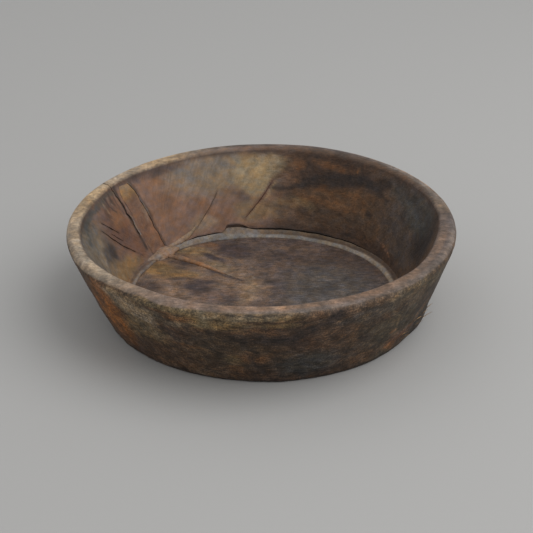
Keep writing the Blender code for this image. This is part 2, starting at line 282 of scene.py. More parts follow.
def mesh_object(name, vertices, faces):
    mesh = bpy.data.meshes.new(name)
    mesh.from_pydata([tuple(v) for v in vertices], [], faces)
    mesh.update()
    made = bpy.data.objects.new(name, mesh)
    bpy.context.scene.collection.objects.link(made)
    return made


def grid_faces(rows, columns, wrap_rows=False, wrap_columns=True):
    """Quads of a grid of vertices, numbered along its rows."""
    faces = []
    for i in range(rows if wrap_rows else rows - 1):
        for j in range(columns if wrap_columns else columns - 1):
            a, b = i * columns, (i + 1) % rows * columns
            k = (j + 1) % columns
            faces.append((a + j, b + j, b + k, a + k))
    return faces


def fan(start, count, centre, reverse=False):
    """Triangles from a ring of vertices, numbered from start, to a centre vertex."""
    ends = [(start + j, start + (j + 1) % count) for j in range(count)]
    return [(b, a, centre) if reverse else (a, b, centre) for a, b in ends]


def vertex_values(target, kind):
    """The coordinates ("co") or normals ("normal") of a mesh's vertices as an array."""
    flat = np.empty(len(target.data.vertices) * 3)
    target.data.vertices.foreach_get(kind, flat)
    return flat.reshape(-1, 3)


def coordinates(target):
    return vertex_values(target, "co")


def push(target, distances):
    """Moves a mesh's vertices along their normals, by a distance or one distance for each."""
    moves = vertex_values(target, "normal") * np.reshape(distances, (-1, 1))
    move_vertices(target, coordinates(target) + moves)


def move_vertices(target, points):
    target.data.vertices.foreach_set("co", np.asarray(points, dtype=np.float32).ravel())
    target.data.update()


def swollen(source):
    """A copy of a closed piece, larger by a hairline all round: the cutter of its socket."""
    made = bpy.data.objects.new(source.name + "_socket", source.data.copy())
    bpy.context.scene.collection.objects.link(made)
    push(made, HAIRLINE)
    return made


def cut(target, cutters, operation="DIFFERENCE"):
    """Cuts all the cutters out of target at once, exactly, or joins them to it."""
    collection = bpy.data.collections.new(target.name + "_cutters")
    for cutter in cutters:
        collection.objects.link(cutter)
    step = target.modifiers.new("cuts", "BOOLEAN")
    step.operation = operation
    step.operand_type = "COLLECTION"
    step.collection = collection
    step.solver = "MANIFOLD"
    bpy.context.view_layer.update()
    result = target.evaluated_get(bpy.context.evaluated_depsgraph_get())
    mesh = bpy.data.meshes.new_from_object(result)
    target.modifiers.clear()
    old = target.data
    target.data = mesh
    bpy.data.meshes.remove(old)
    bpy.data.collections.remove(collection)
    drop_scraps(target)


def drop_scraps(target):
    """Keeps only the largest connected part of a mesh, without the slivers a cut leaves loose."""
    work = bmesh.new()
    work.from_mesh(target.data)
    unseen, parts = set(work.verts), []
    while unseen:
        edge, part = [unseen.pop()], []
        while edge:
            vertex = edge.pop()
            part.append(vertex)
            for link in vertex.link_edges:
                other = link.other_vert(vertex)
                if other in unseen:
                    unseen.remove(other)
                    edge.append(other)
        parts.append(part)
    parts.sort(key=len)
    bmesh.ops.delete(work, geom=[vertex for part in parts[:-1] for vertex in part], context="VERTS")
    work.to_mesh(target.data)
    work.free()


def closed(target):
    """Turns a closed mesh's faces outwards."""
    work = bmesh.new()
    work.from_mesh(target.data)
    bmesh.ops.recalc_face_normals(work, faces=work.faces)
    work.to_mesh(target.data)
    work.free()
    return target


# ---------------------------------------------------------------- the carved body


def bead_edges(angle):
    """How far the bead's toe and top wander, and the gap that opens above it at the back."""
    degrees = np.degrees(angle) % 360
    course = np.array(BEAD_COURSE).T
    back, low = (MM * np.interp(degrees, course[0], course[k], period=360) for k in (1, 2))
    toe = BEAD_TOE + 0.6 * MM * fractal(ring(angle), 14, 3) + 0.4 * MM * noise(ring(angle), 60, 4)
    top = BEAD_TOP + 0.4 * MM * fractal(ring(angle), 12, 5) - low
    wide = 1.9 * MM * smooth(degrees, 108, 105.5) * smooth(degrees, 95, 101)
    thin = (0.62 + 0.3 * noise(ring(angle), 9, 6)) * MM
    thin = thin * smooth(degrees, 107.5, 104) * smooth(degrees, 20, 70)
    thin_left = 0.5 * MM * smooth(degrees, 108, 112) * smooth(degrees, 126, 122)
    return toe + back, top, HAIRLINE + np.maximum(np.maximum(wide, thin), thin_left)


def body_profile():
    """Rows of the section, from the middle of the floor over the rim to the middle of the foot."""
    inner_height = RIM_HEIGHT - RIM_INNER_ROUND
    inner_middle = inner_radius(inner_height) + RIM_INNER_ROUND / math.cos(INNER_SLOPE)
    outer_centre = (R - RIM_OUTER_ROUND, RIM_HEIGHT - RIM_OUTER_ROUND)
    foot_centre = (outer_radius(FOOT_ROUND) - FOOT_ROUND, FOOT_ROUND)
    inner_start, outer_stop = 180 - math.degrees(INNER_SLOPE), -math.degrees(OUTER_SLOPE)
    rim_inside = arc(
        (inner_middle, inner_height), RIM_INNER_ROUND, inner_start, 90, RIM_INSIDE_ROWS
    )
    rim_outside = arc(outer_centre, RIM_OUTER_ROUND, 90, outer_stop, RIM_OUTSIDE_ROWS)
    back = inner_radius(BEAD_TOP) + BEAD_REBATE
    under = FLOOR_HEIGHT - BEAD_REBATE
    rows = line((CENTRE_HOLE, FLOOR_HEIGHT), (BEAD_TOE, FLOOR_HEIGHT), FLOOR_ROWS)
    rows += [(BEAD_TOE, FLOOR_HEIGHT), (BEAD_TOE, under), (back, under), (back, BEAD_TOP)]
    heights = np.linspace(BEAD_TOP, rim_inside[0][1], WALL_ROWS, endpoint=False)
    rows += [(inner_radius(height), height) for height in heights]
    rows += rim_inside
    rows += line((inner_middle, RIM_HEIGHT), (outer_centre[0], RIM_HEIGHT), RIM_ROWS)
    rows += rim_outside
    heights = np.linspace(rim_outside[-1][1] - 0.8 * MM, FOOT_ROUND, OUTER_ROWS, endpoint=False)
    rows += [(outer_radius(height), height) for height in heights]
    rows += arc(foot_centre, FOOT_ROUND, 0, -90, FOOT_EDGE_ROWS)
    rows += line((foot_centre[0], 0.0), (CENTRE_HOLE, 0.0), FOOT_ROWS)
    return np.array(rows)


def carve(points, outward):
    """How far each point of the skin moves along its normal: facets, wear, chips and fibres."""
    x, y, z = points.T
    radius = np.hypot(x, y)
    angle = np.arctan2(y, x)
    top = RIM_HEIGHT + wave(RIM_LIFT, angle)
    rim = smooth(z, top - 9 * MM, top - 4 * MM)
    outside = (radius > (inner_radius(z) + outer_radius(z)) / 2) * (z > 0.4 * MM) * 1.0
    floor = (z < FLOOR_HEIGHT + 0.3 * MM) & (radius < BEAD_TOE - 0.5 * MM) & (outward[:, 2] > 0.7)
    # Broad facets left by the adze, flatter strokes inside, and small dents everywhere.
    stretched = np.stack([radius * angle, z * 0.7, radius * 0.3], axis=1)
    facets = 0.45 * MM * noise(stretched, 17, 11) + 0.22 * MM * noise(stretched, 7, 12)
    dents = 0.10 * MM * fractal(points, 3.0, 13, 2)
    depth = facets * (0.45 + 0.45 * outside) + dents
    # The rim is worn smooth, but its width wanders.
    depth = depth * (1 - 0.55 * rim) + rim * 0.35 * MM * noise(points, 38, 14)
    # Torn fibres low on the right of the front.
    torn = window(np.degrees(angle) % 360, 306, 318, 330, 340)
    torn = torn * smooth(z, 36 * MM, 26 * MM) * outside
    slanted = np.stack([radius * angle + z * 0.9, z * 0.25, radius * 0], axis=1)
    depth += torn * (0.55 * MM * fractal(slanted, 2.6, 15, 2) - 0.4 * MM)
    # A worn, nibbled edge round the foot.
    edge = smooth(z, 5 * MM, 1.5 * MM) * outside
    depth += edge * (0.5 * MM * fractal(points, 6, 16, 3) - 0.35 * MM)
    # Flat gouge strokes across the floor.
    strokes = np.stack([x * 0.4, y, z * 0], axis=1)
    depth = np.where(floor, 0.2 * MM * noise(strokes, 9, 17) + 0.6 * dents, depth)
    return np.where(z < 0.3 * MM, 0, depth)


def build_body():
    """The carved block as one closed skin, before its sockets and checks are cut."""
    profile = body_profile()
    angle = np.linspace(0, 2 * math.pi, COLUMNS, endpoint=False)
    toe, top, gap = bead_edges(angle)
    radius = np.repeat(profile[:, :1], COLUMNS, axis=1)
    height = np.repeat(profile[:, 1:], COLUMNS, axis=1)
    # The floor ends at the wandering toe of the bead, and the wall starts at its wandering top.
    radius[:FLOOR_ROWS] *= (toe - HAIRLINE) / BEAD_TOE
    radius[FLOOR_ROWS:FLOOR_ROWS + 2] = toe - HAIRLINE
    first, last = FLOOR_ROWS + 4, FLOOR_ROWS + 3 + WALL_ROWS
    share = (height[first:last] - BEAD_TOP) / (height[last] - BEAD_TOP)
    height[first:last] = (top + gap) * (1 - share) + height[last] * share
    radius[first:last] = inner_radius(height[first:last])
    height[first - 1] = top + gap
    # The rim's inner edge wanders in and out, and the torn foot stands out.
    shift = wall_radius(angle[None, :], height) - inner_radius(height)
    radius += smooth(radius, R - 6 * MM, R - 12 * MM) * shift
    on_outside = smooth(radius, FOOT_RADIUS - 4.5 * MM, FOOT_RADIUS - 3.5 * MM)
    radius += on_outside * foot_spread(angle[None, :], height)
    points = warped(angle[None, :], radius, height).reshape(-1, 3)
    faces = grid_faces(len(profile), COLUMNS)
    faces += fan(0, COLUMNS, len(points))
    faces += fan((len(profile) - 1) * COLUMNS, COLUMNS, len(points) + 1, reverse=True)
    points = np.vstack([points, [0, 0, FLOOR_HEIGHT], [0, 0, 0.0]])
    body = mesh_object("carved_body", points, faces)
    push(body, carve(points, vertex_values(body, "normal")))
    return body


# ---------------------------------------------------------------- grooves and fillers


def wall_point(degrees, height):
    """The inner wall's point at an azimuth and height, and its normal there, towards the hollow."""
    wanted = np.radians(np.asarray(degrees, dtype=float))
    wanted_height = np.asarray(height, dtype=float) + 0 * wanted
    angle, height = wanted, wanted_height
    for _ in range(3):
        point = warped(angle, wall_radius(angle, height), height)
        turn = wanted - np.arctan2(point[..., 1], point[..., 0])
        angle = angle + np.arctan2(np.sin(turn), np.cos(turn))
        height = height + wanted_height - point[..., 2]
    normal = np.stack([-np.cos(angle), -np.sin(angle), math.tan(INNER_SLOPE) + 0 * angle], axis=-1)
    return point, normal / np.linalg.norm(normal, axis=-1, keepdims=True)


def resampled(values, count):
    """Rows of values spread evenly along a path by interpolation."""
    values = np.asarray(values, dtype=float)
    at = np.linspace(0, len(values) - 1, count)
    return np.stack([np.interp(at, np.arange(len(values)), column) for column in values.T], axis=1)


def frames_along(points, normal):
    """Sideways directions along a path that lies on a surface."""
    along = np.gradient(points, axis=0)
    side = np.cross(normal, along)
    return side / np.linalg.norm(side, axis=1, keepdims=True)


def groove(name, points, normal, half_width, depth, seed):
    """A V-shaped cutter that wanders along a path and closes to a hair at both ends."""
    count = len(points)
    side = frames_along(points, normal)
    taper = np.sqrt(np.clip(np.sin(np.linspace(0.06, math.pi - 0.06, count)), 0, 1))
    points = points + side * (0.35 * MM * fractal(points, 5, seed, 2))[:, None]
    half = half_width * taper * (1 + 0.75 * noise(points, 3.5, seed + 5)) + 0.04 * MM
    half = half[:, None]
    deep = (depth * taper + 0.1 * MM)[:, None]
    over = 1.5 * MM
    reach = side * half * (1 + over / deep)
    rings = [
        points + normal * over - reach,
        points + normal * over + reach,
        points - normal * deep,
    ]
    vertices = np.stack(rings, axis=1).reshape(-1, 3)
    faces = []
    for i, j in itertools.product(range(count - 1), range(3)):
        a, b, k = 3 * i, 3 * i + 3, (j + 1) % 3
        faces.append((a + j, a + k, b + k, b + j))
    faces += [(2, 1, 0), (3 * count - 3, 3 * count - 2, 3 * count - 1)]
    return closed(mesh_object(name, vertices, faces))


def wall_check(name, path, half_width, depth, seed):
    """A drying check in the inner wall along a path of (azimuth, height)."""
    dense = resampled(path, 30)
    points, normal = wall_point(dense[:, 0], dense[:, 1] * MM)
    return groove(name, points, normal, half_width * MM, depth * MM, seed)


def round_fill(name, path, seed, rise, around=14, lump=0.16 * MM):
    """A smear or a fibre: an uneven tube along a path of points, normals and half widths.

    Its outer side stands off the surface by rise times the half width.
    """
    points, normal, half_width = path
    side = frames_along(points, normal)[:, None]
    half = half_width * (1 + 0.18 * noise(points, 4, seed))
    half = half[:, None]
    turn = np.linspace(0, 2 * math.pi, around, endpoint=False)
    flat = np.where(np.sin(turn) > 0, rise, 0.8)
    vertices = points[:, None] + side * (half * np.cos(turn))[..., None]
    vertices = vertices + normal[:, None] * (half * np.sin(turn) * flat)[..., None]
    vertices = np.vstack([vertices.reshape(-1, 3), points[0], points[-1]])
    last = (len(points) - 1) * around
    faces = grid_faces(len(points), around)
    faces += fan(0, around, last + around, reverse=True) + fan(last, around, last + around + 1)
    made = closed(mesh_object(name, vertices, faces))
    push(made, lump * fractal(coordinates(made), 2.2, seed + 3, 2))
    return made


def build_bead():
    """The bead of filler round the corner of wall and floor, uneven along both edges."""
    angle = np.linspace(0, 2 * math.pi, COLUMNS, endpoint=False)
    toe, top, _ = bead_edges(angle)
    share = np.linspace(0, 1, BEAD_ROWS)[:, None]
    face_radius = toe + (inner_radius(top) - toe) * share
    face_height = FLOOR_HEIGHT + (top - FLOOR_HEIGHT) * share**1.15
    # A rounded ridge along the toe, with a flatter slope behind it.
    ridge = band(share, 0.28, 0.17) * 0.95 * MM
    back = inner_radius(BEAD_TOP) + BEAD_REBATE - HAIRLINE + 0 * toe
    under = FLOOR_HEIGHT - BEAD_REBATE + HAIRLINE + 0 * toe
    radius = np.vstack([face_radius - ridge * 0.35, back, back, toe])
    height = np.vstack([face_height + ridge, top - 1.7 * MM, under, under])
    points = warped(angle[None, :], radius, height).reshape(-1, 3)
    faces = grid_faces(len(radius), COLUMNS, wrap_rows=True)
    bead = closed(mesh_object("bead_of_filler", points, faces))
    spots = coordinates(bead)
    lumps = 0.28 * MM * fractal(spots, 4, 31, 3) + 0.2 * MM * noise(spots, 20, 32)
    weight = np.zeros(len(spots))
    fade = np.sin(math.pi * np.repeat(np.linspace(0, 1, BEAD_ROWS), COLUMNS)) ** 0.5
    weight[:len(fade)] = fade
    push(bead, lumps * weight)
    return bead


def build_patch():
    """The rough lump pressed into the corner where the checks meet."""
    bpy.ops.mesh.primitive_uv_sphere_add(segments=72, ring_count=40, radius=1.0)
    patch = bpy.context.object
    patch.name = "lump_at_knot"
    unit = coordinates(patch)
    angle = math.atan2(KNOT[1], KNOT[0])
    outward = np.array([math.cos(angle), math.sin(angle), 0])
    along = np.array([-math.sin(angle), math.cos(angle), 0])
    centre = warped(np.array(angle), FLOOR_RADIUS + 0.5 * MM, FLOOR_HEIGHT + 0.4 * MM)
    spots = centre + outward * unit[:, :1] * PATCH_HALF[0] + along * unit[:, 1:2] * PATCH_HALF[1]
    spots = spots + np.array([0, 0, 1]) * unit[:, 2:] * PATCH_HALF[2]
    spread = 0.95 + 0.26 * fractal(spots, 6, 41, 3) + 0.07 * noise(spots, 2.4, 42)
    # One lobe rises over the strip's foot and another runs down along the bead.
    for lobe, size in PATCH_LOBES:
        spread += size * np.exp(-(((unit - lobe) ** 2).sum(axis=1)) / 0.25)
    move_vertices(patch, centre + (spots - centre) * spread[:, None])
    return patch


def slab(name, left, right, out, depth):
    """A slab of the inner wall between two edges, from out in front of it to depth behind it."""
    rows, columns = STRIP_ROWS, STRIP_COLUMNS
    left, right = resampled(left, rows), resampled(right, rows)
    share = np.linspace(0, 1, columns)[None, :]
    degrees = left[:, :1] * (1 - share) + right[:, :1] * share
    height = (left[:, 1:] * (1 - share) + right[:, 1:] * share) * MM
    point, normal = wall_point(degrees, height)
    front = (point + normal * out).reshape(-1, 3)
    rear = (point - normal * depth).reshape(-1, 3)
    count = rows * columns
    faces = grid_faces(rows, columns, wrap_columns=False)
    faces += [tuple(count + i for i in reversed(face)) for face in faces]
    outline = list(range(columns)) + [i * columns + columns - 1 for i in range(1, rows)]
    outline += [(rows - 1) * columns + j for j in range(columns - 2, -1, -1)]
    outline += [i * columns for i in range(rows - 2, 0, -1)]
    for a, b in zip(outline, outline[1:] + outline[:1]):
        faces.append((a, b, count + b, count + a))
    return closed(mesh_object(name, np.vstack([front, rear]), faces))


def jagged(edge, seed, reach=0.35):
    """An edge path with many points, which wanders by reach degrees."""
    dense = resampled(edge, 60)
    spots, _ = wall_point(dense[:, 0], dense[:, 1] * MM)
    dense[:, 0] += reach * fractal(spots, 6, seed, 3)
    return dense


def shifted(edge, degrees):
    """An edge path moved round the bowl."""
    moved = np.array(edge, dtype=float)
    moved[:, 0] += degrees
    return moved


def floor_path(stations, count):
    """Points, normals and half widths along stations of (azimuth, radius, half width)."""
    dense = resampled(stations, count)
    points = warped(np.radians(dense[:, 0]), dense[:, 1] * MM, FLOOR_HEIGHT + 0 * dense[:, 1])
    return points, np.tile([0.0, 0.0, 1.0], (count, 1)), dense[:, 2] * MM


def wall_path(stations, count):
    """Points, normals and half widths along stations of (azimuth, height, half width)."""
    dense = resampled(stations, count)
    points, normal = wall_point(dense[:, 0], dense[:, 1] * MM)
    return points, normal, dense[:, 2] * MM


def rim_split():
    """The hairline split that crosses the rim, as a thin wedge through its top and both sides."""
    inner, top, angle = R - RIM_THICKNESS, RIM_HEIGHT, RIM_SPLIT_AZIMUTH
    # Stations of radius, height and the direction the wedge opens to, from inside to outside.
    stations = [
        (inner_radius(top - 8 * MM), top - 8 * MM, math.pi), (inner + 0.3 * MM, top - 2 * MM, 2.6),
        (inner + 3.4 * MM, top, 1.6), (R - 5 * MM, top, 1.5), (R - 1.4 * MM, top - 1.8 * MM, 0.8),
        (R, top - 5.5 * MM, 0.0), (outer_radius(top - 16 * MM), top - 16 * MM, -0.1),
        (outer_radius(top - 30 * MM), top - 30 * MM, -0.1),
    ]
    count = 50
    radius, height, opening = resampled(stations, count).T
    points = warped(angle + 0.004 * np.sin(np.linspace(0, 9, count)), radius, height)
    flat = np.cos(opening)
    normal = np.stack([flat * np.cos(angle), flat * np.sin(angle), np.sin(opening)], axis=1)
    half = np.interp(np.arange(count), (0, 30, 49), (0.55 * MM, 0.55 * MM, 0.25 * MM))
    return groove("rim_split", points, normal, half, RIM_SPLIT_DEPTH, 71)


def loose_fibre(degrees, height, length, lift, seed):
    """A thin, tapering fibre that stands off the outer wall, rooted in it."""
    angle, height = math.radians(degrees), height * MM
    share = np.linspace(0, 1, FIBRE_POINTS)[:, None]
    root = warped(angle, outer_radius(height) + foot_spread(angle, height) - 0.7 * MM, height)
    outward = np.array([math.cos(angle), math.sin(angle), 0])
    along = np.array([-math.sin(angle), math.cos(angle), 0]) * 0.75 + np.array([0, 0, 0.55])
    points = root + length * MM * (along * share + outward * (0.36 * share + lift * share**2))
    path = points, np.tile(outward, (FIBRE_POINTS, 1)), (0.55 - 0.40 * share[:, 0]) * MM
    return round_fill(f"fibre_{seed}", path, seed, 0.8, around=5, lump=0.0)


def build_pieces():
    body, bead, patch = build_body(), build_bead(), build_patch()
    fibres = [loose_fibre(*fibre, 90 + i) for i, fibre in enumerate(LOOSE_FIBRES)]
    cut(body, fibres, "UNION")

    left, right = jagged(STRIP_LEFT, 51), jagged(STRIP_RIGHT, 52, 0.6)
    strip = slab("filled_strip", left, right, -0.1 * MM, STRIP_DEPTH)
    spots = coordinates(strip)
    on_front = np.arange(len(spots)) < len(spots) // 2
    push(strip, 0.16 * MM * fractal(spots, 5, 53, 3) * on_front)
    wider = shifted(left, 0.12), jagged(shifted(right, -0.24), 55, 0.2)
    pocket = slab("strip_pocket", *wider, POCKET_OUT, POCKET_DEPTH)

    split = jagged(SPLIT_LEFT[:6], 54, 1.3)
    beside = [(azimuth - 0.6, height, 0.45) for azimuth, height in split[22:58]]
    edge_fill = round_fill("edge_fill", wall_path(beside, 40), 61, rise=0.6)
    points, normal = wall_point(split[:, 0], split[:, 1] * MM)
    left_crack = groove("left_crack", points, normal, CRACK_HALF_WIDTH, CRACK_DEPTH, 62)
    smear = round_fill("smear_up_check", wall_path(SMEAR, 40), 63, rise=0.5)
    floor_fill = round_fill("floor_fill", floor_path(FLOOR_FILL, 60), 64, rise=0.75)

    checks = [wall_check(name, *check, 80 + i) for i, (name, check) in enumerate(CHECKS.items())]
    points, normal, half = floor_path(FLOOR_CRACK, 40)
    checks.append(groove("floor_crack", points, normal, half, half * 2.6, 79))
    sockets = [swollen(piece) for piece in (patch, edge_fill, smear, floor_fill)]
    tools = sockets + [pocket, left_crack, rim_split()] + checks
    cut(body, tools)
    cut(bead, [sockets[0], sockets[2], sockets[3]])
    cut(strip, [sockets[0], sockets[1], left_crack])
    cut(smear, [sockets[0]])
    cut(floor_fill, [sockets[0]])
    cut(edge_fill, [sockets[0], left_crack])
    for tool in tools + fibres:
        bpy.data.objects.remove(tool)
    return {
        "bowl_body": body, "corner_bead": bead, "corner_patch": patch, "wall_strip": strip,
        "split_edge_fill": edge_fill, "check_fill": smear, "floor_split_fill": floor_fill,
    }


# ---------------------------------------------------------------- colour


def tone(red, green, blue):
    """A linear colour from its sRGB values out of 255."""
    part = np.array([red, green, blue]) / 255
    return np.where(part <= 0.04045, part / 12.92, ((part + 0.055) / 1.055) ** 2.4)


TONES = {name: tone(*values) for name, values in {
    "umber": (78, 62, 50), "warm umber": (92, 70, 53), "dark umber": (62, 48, 40),
    "soot": (44, 37, 34), "slate": (76, 70, 67), "grey green": (95, 87, 77), "mauve": (120, 94, 80),
    "russet": (97, 71, 59), "plum": (84, 70, 66), "sand": (130, 116, 100), "flame": (150, 132, 104),
    "pale clay": (142, 122, 103), "honey": (126, 101, 71), "ochre": (124, 104, 80),
    "rust": (116, 83, 57), "khaki": (124, 110, 92), "olive": (103, 89, 68), "moss": (64, 61, 57),
    "dull brown": (88, 76, 62), "rim tan": (153, 139, 122), "rim gold": (152, 128, 98),
    "rim grey": (104, 95, 88), "rim dark": (76, 66, 62), "rim brown": (117, 99, 88),
    "rim orange": (122, 98, 78), "floor brown": (80, 67, 61), "floor grey": (77, 72, 69),
    "floor tan": (112, 93, 79), "ink": (60, 51, 51), "putty": (112, 107, 102),
    "brown putty": (104, 88, 76), "bone": (148, 138, 128), "crack dirt and shade": (26, 21, 18),
    "strip": (113, 86, 70), "dark olive": (61, 53, 42), "teal": (64, 66, 64),
    "burnt orange": (120, 80, 48), "patch": (132, 112, 96), "floor fill": (138, 106, 82),
}.items()}

# A stain, and in places a patch of painted shade, on a wall is placed by azimuth and height, at
# DEGREE mm to the degree, one on the floor by x and y. Each is: tone, centre across and up, half
# size across and up, strength, tilt.
DEGREE = 2.1

INNER_STAINS_AND_SHADE = (
    ("mauve", 125, 35, 52, 60, 1), ("umber", 40, 35, 44, 60, 1), ("grey green", 196, 45, 24, 40, 1),
    # The pale flame at the back, lighter towards its sharp right edge.
    ("sand", 112, 57, 20, 17, 0.75), ("khaki", 100, 50, 16, 17, 0.6),
    ("flame", 94, 51, 9, 15, 0.85, 18), ("flame", 88, 60, 9.5, 7.5, 0.75),
    ("pale clay", 117, 21, 7, 6, 0.8), ("mauve", 104, 36, 7, 10, 0.5), ("ochre", 95, 26, 8, 9, 0.8),
    ("ochre", 84, 27, 8, 8, 0.6), ("plum", 98, 36, 4, 4, 0.5, 20),
    ("ochre", 108, 50, 4, 5, 0.5, 30), ("putty", 120, 58, 6, 4, 0.5, 20),
    ("putty", 104, 60, 5, 3, 0.5, 10), ("rust", 113, 30, 8, 5, 0.45, 40),
    ("rust", 132, 40, 6, 14, 0.35), ("rust", 134, 58, 5, 5, 0.4),
    # The dark right part, with a black streak through it and a warm patch below.
    ("dark umber", 62, 60, 22, 12, 0.9), ("warm umber", 64, 41, 22, 8, 0.9),
    ("rust", 66, 44, 9, 3, 0.45, 12), ("umber", 62, 38, 14, 6, 0.5, 4),
    ("rust", 60, 36, 12, 3, 0.3, 4), ("ochre", 74, 33, 7, 4, 0.5, 15),
    ("rust", 64, 63, 9, 3, 0.35, 5), ("rust", 77, 60, 3, 5, 0.4),
    # Slate, soot and teal at the right end, near the rim's underside, are painted shade.
    ("warm umber", 50, 48, 12, 6, 0.5), ("slate", 18, 42, 20, 30, 0.7),
    ("soot", 3, 48, 12, 20, 0.9), ("slate", 30, 64, 16, 5, 0.5), ("teal", 16, 54, 12, 12, 0.55),
    ("teal", 30, 58, 8, 6, 0.4), ("umber", 42, 25, 20, 8, 0.4), ("dark umber", 46, 14, 44, 6, 0.75),
    ("plum", 80, 24, 5, 5, 0.5), ("soot", 52, 57, 9, 5, 0.5), ("soot", 42, 53, 3, 2, 0.7),
    ("soot", 43, 36, 1.6, 2, 0.8), ("soot", 26, 48, 3, 4, 0.5, 40),
    # The russet wedge between the checks at the left, and grey and honey beside it.
    ("russet", 160, 44, 8, 20, 1), ("rust", 158, 46, 4, 8, 0.6), ("russet", 155, 24, 6, 12, 0.9),
    ("dark umber", 161, 56, 2, 7, 0.6, 12), ("dark umber", 156, 58, 1.5, 6, 0.5, 8),
    ("mauve", 168, 62, 7, 6, 0.5), ("slate", 175, 33, 8, 9, 0.9), ("soot", 172, 33, 4, 7, 0.7),
    ("honey", 170, 17, 12, 7, 0.9), ("ochre", 180, 24, 10, 7, 0.6), ("honey", 160, 14, 7, 4, 0.6),
    # The soot at azimuth 176, just inside the rim, is painted shade.
    ("plum", 134, 65, 14, 4, 0.7), ("plum", 146, 66, 30, 2, 0.6), ("soot", 176, 62, 9, 4, 0.45),
    ("sand", 184, 40, 5, 6, 0.5), ("khaki", 178, 45, 4, 4, 0.5), ("sand", 190, 30, 4, 5, 0.4),
    ("putty", 176, 52, 4, 2, 0.4), ("dark umber", 132, 63, 4, 4, 0.5),
)

FLOOR_STAINS = (
    ("floor tan", -60, 20, 62, 70, 0.75), ("floor grey", 48, 0, 40, 50, 0.85),
    ("honey", -80, 38, 12, 13, 1), ("honey", -64, 28, 16, 9, 0.85),
    ("ochre", -57, 69, 16, 8, 0.95, -25), ("ochre", -30, 40, 20, 6, 0.6, -35),
    ("floor tan", -14, 12, 14, 28, 1, 20), ("ochre", -12, 2, 6, 22, 0.35),
    ("rust", -42, 78, 12, 6, 0.5, -30), ("ink", -24, 71, 18, 13, 0.95, -35),
    ("ink", -40, 58, 14, 4, 0.9, -38), ("ink", -60, 48, 13, 5, 0.75, -20),
    ("ink", -66, 20, 10, 2.5, 0.6), ("ink", -48, 8, 14, 13, 0.9, 20),
    ("plum", -34, -8, 18, 12, 0.7), ("ink", -36, 32, 6, 3, 0.8), ("ink", -86, 10, 14, 8, 0.6, -20),
    ("floor tan", -62, 2, 10, 9, 0.6), ("ink", 10, 6, 6, 18, 0.45, 20),
    ("dark umber", 70, 50, 28, 18, 0.4, -40), ("ink", 12, 62, 22, 6, 0.35, -10),
    ("floor tan", 20, 74, 22, 4, 0.3, -8), ("ink", 0, 44, 7, 4, 0.4),
)

OUTER_STAINS = (
    ("umber", 332, 36, 18, 34, 0.85), ("dark umber", 338, 46, 10, 12, 0.4),
    ("dark olive", 326, 34, 28, 34, 0.95), ("olive", 322, 58, 14, 5, 0.4),
    ("burnt orange", 216.5, 34, 9.5, 27, 1), ("burnt orange", 219, 30, 6, 18, 0.8, 20),
    ("warm umber", 214, 50, 5, 6, 0.4), ("warm umber", 213, 12, 8, 9, 0.5),
    ("dark umber", 206, 30, 2.6, 24, 0.6), ("dark umber", 214, 38, 2, 5, 0.5),
    ("umber", 219, 24, 2.5, 5, 0.5, 20), ("dark umber", 226, 48, 1.6, 12, 0.5, 35),
    ("khaki", 232, 51, 9, 8, 1), ("khaki", 226, 58, 8, 5, 0.9), ("sand", 233, 48, 6, 4, 0.7),
    ("khaki", 238, 38, 5, 5, 0.5), ("sand", 228, 56, 4, 3, 0.4), ("olive", 232, 33, 9, 12, 0.6),
    ("dark umber", 243, 42, 5, 6, 0.6), ("dark umber", 233, 22, 6, 5, 0.5),
    ("olive", 256, 56, 11, 5, 1), ("ochre", 262, 59, 8, 2.5, 0.55), ("olive", 274, 59, 6, 3, 0.6),
    ("warm umber", 268, 52, 10, 4, 0.4), ("rust", 247, 55, 5, 3, 0.7, 8),
    ("rust", 241, 58, 4, 2, 0.5), ("khaki", 246, 49, 4, 2, 0.6, 10),
    ("dark umber", 250, 38, 8, 6, 0.8), ("rust", 248, 30, 5, 2, 0.5),
    ("dark olive", 260, 30, 18, 20, 0.5), ("soot", 266, 45, 8, 5, 0.55),
    ("soot", 276, 42, 5, 4, 0.5), ("warm umber", 268, 26, 5, 6, 0.9), ("olive", 261, 22, 3, 5, 0.5),
    ("moss", 284, 18, 12, 13, 0.9), ("warm umber", 262, 13, 4, 3, 0.5),
    ("soot", 284, 8, 10, 4, 0.6), ("soot", 301, 32, 3.5, 5, 0.6), ("soot", 297, 22, 3, 4, 0.4),
    ("umber", 315, 52, 9, 8, 0.5), ("khaki", 318, 50, 2, 6, 0.35, -20),
    ("dark umber", 306, 46, 5, 5, 0.5), ("russet", 322, 14, 9, 9, 0.6),
    ("rust", 317, 10, 5, 4, 0.6, -20), ("rust", 314, 27, 2, 3, 0.5, -30),
    ("warm umber", 306, 10, 7, 5, 0.5), ("soot", 336, 12, 9, 14, 0.6),
    ("dark umber", 330, 40, 8, 14, 0.6), ("moss", 300, 55, 12, 6, 0.5),
    # The sides away from the front: the same browns, khakis and soot.
    ("olive", 20, 48, 14, 9, 0.8), ("soot", 38, 30, 9, 7, 0.6, 10), ("rust", 55, 20, 10, 7, 0.6),
    ("khaki", 72, 50, 13, 6, 0.7), ("dark umber", 90, 34, 14, 9, 0.7, -8),
    ("warm umber", 112, 18, 12, 9, 0.8), ("burnt orange", 128, 44, 6, 10, 0.35),
    ("khaki", 142, 54, 9, 6, 0.8), ("soot", 152, 40, 3, 18, 0.5), ("olive", 166, 30, 10, 14, 0.7),
    ("dark umber", 182, 44, 10, 10, 0.7), ("warm umber", 194, 20, 9, 12, 0.7),
    ("khaki", 100, 56, 5, 4, 0.5), ("soot", 20, 8, 20, 4, 0.6), ("soot", 120, 6, 24, 3, 0.6),
)

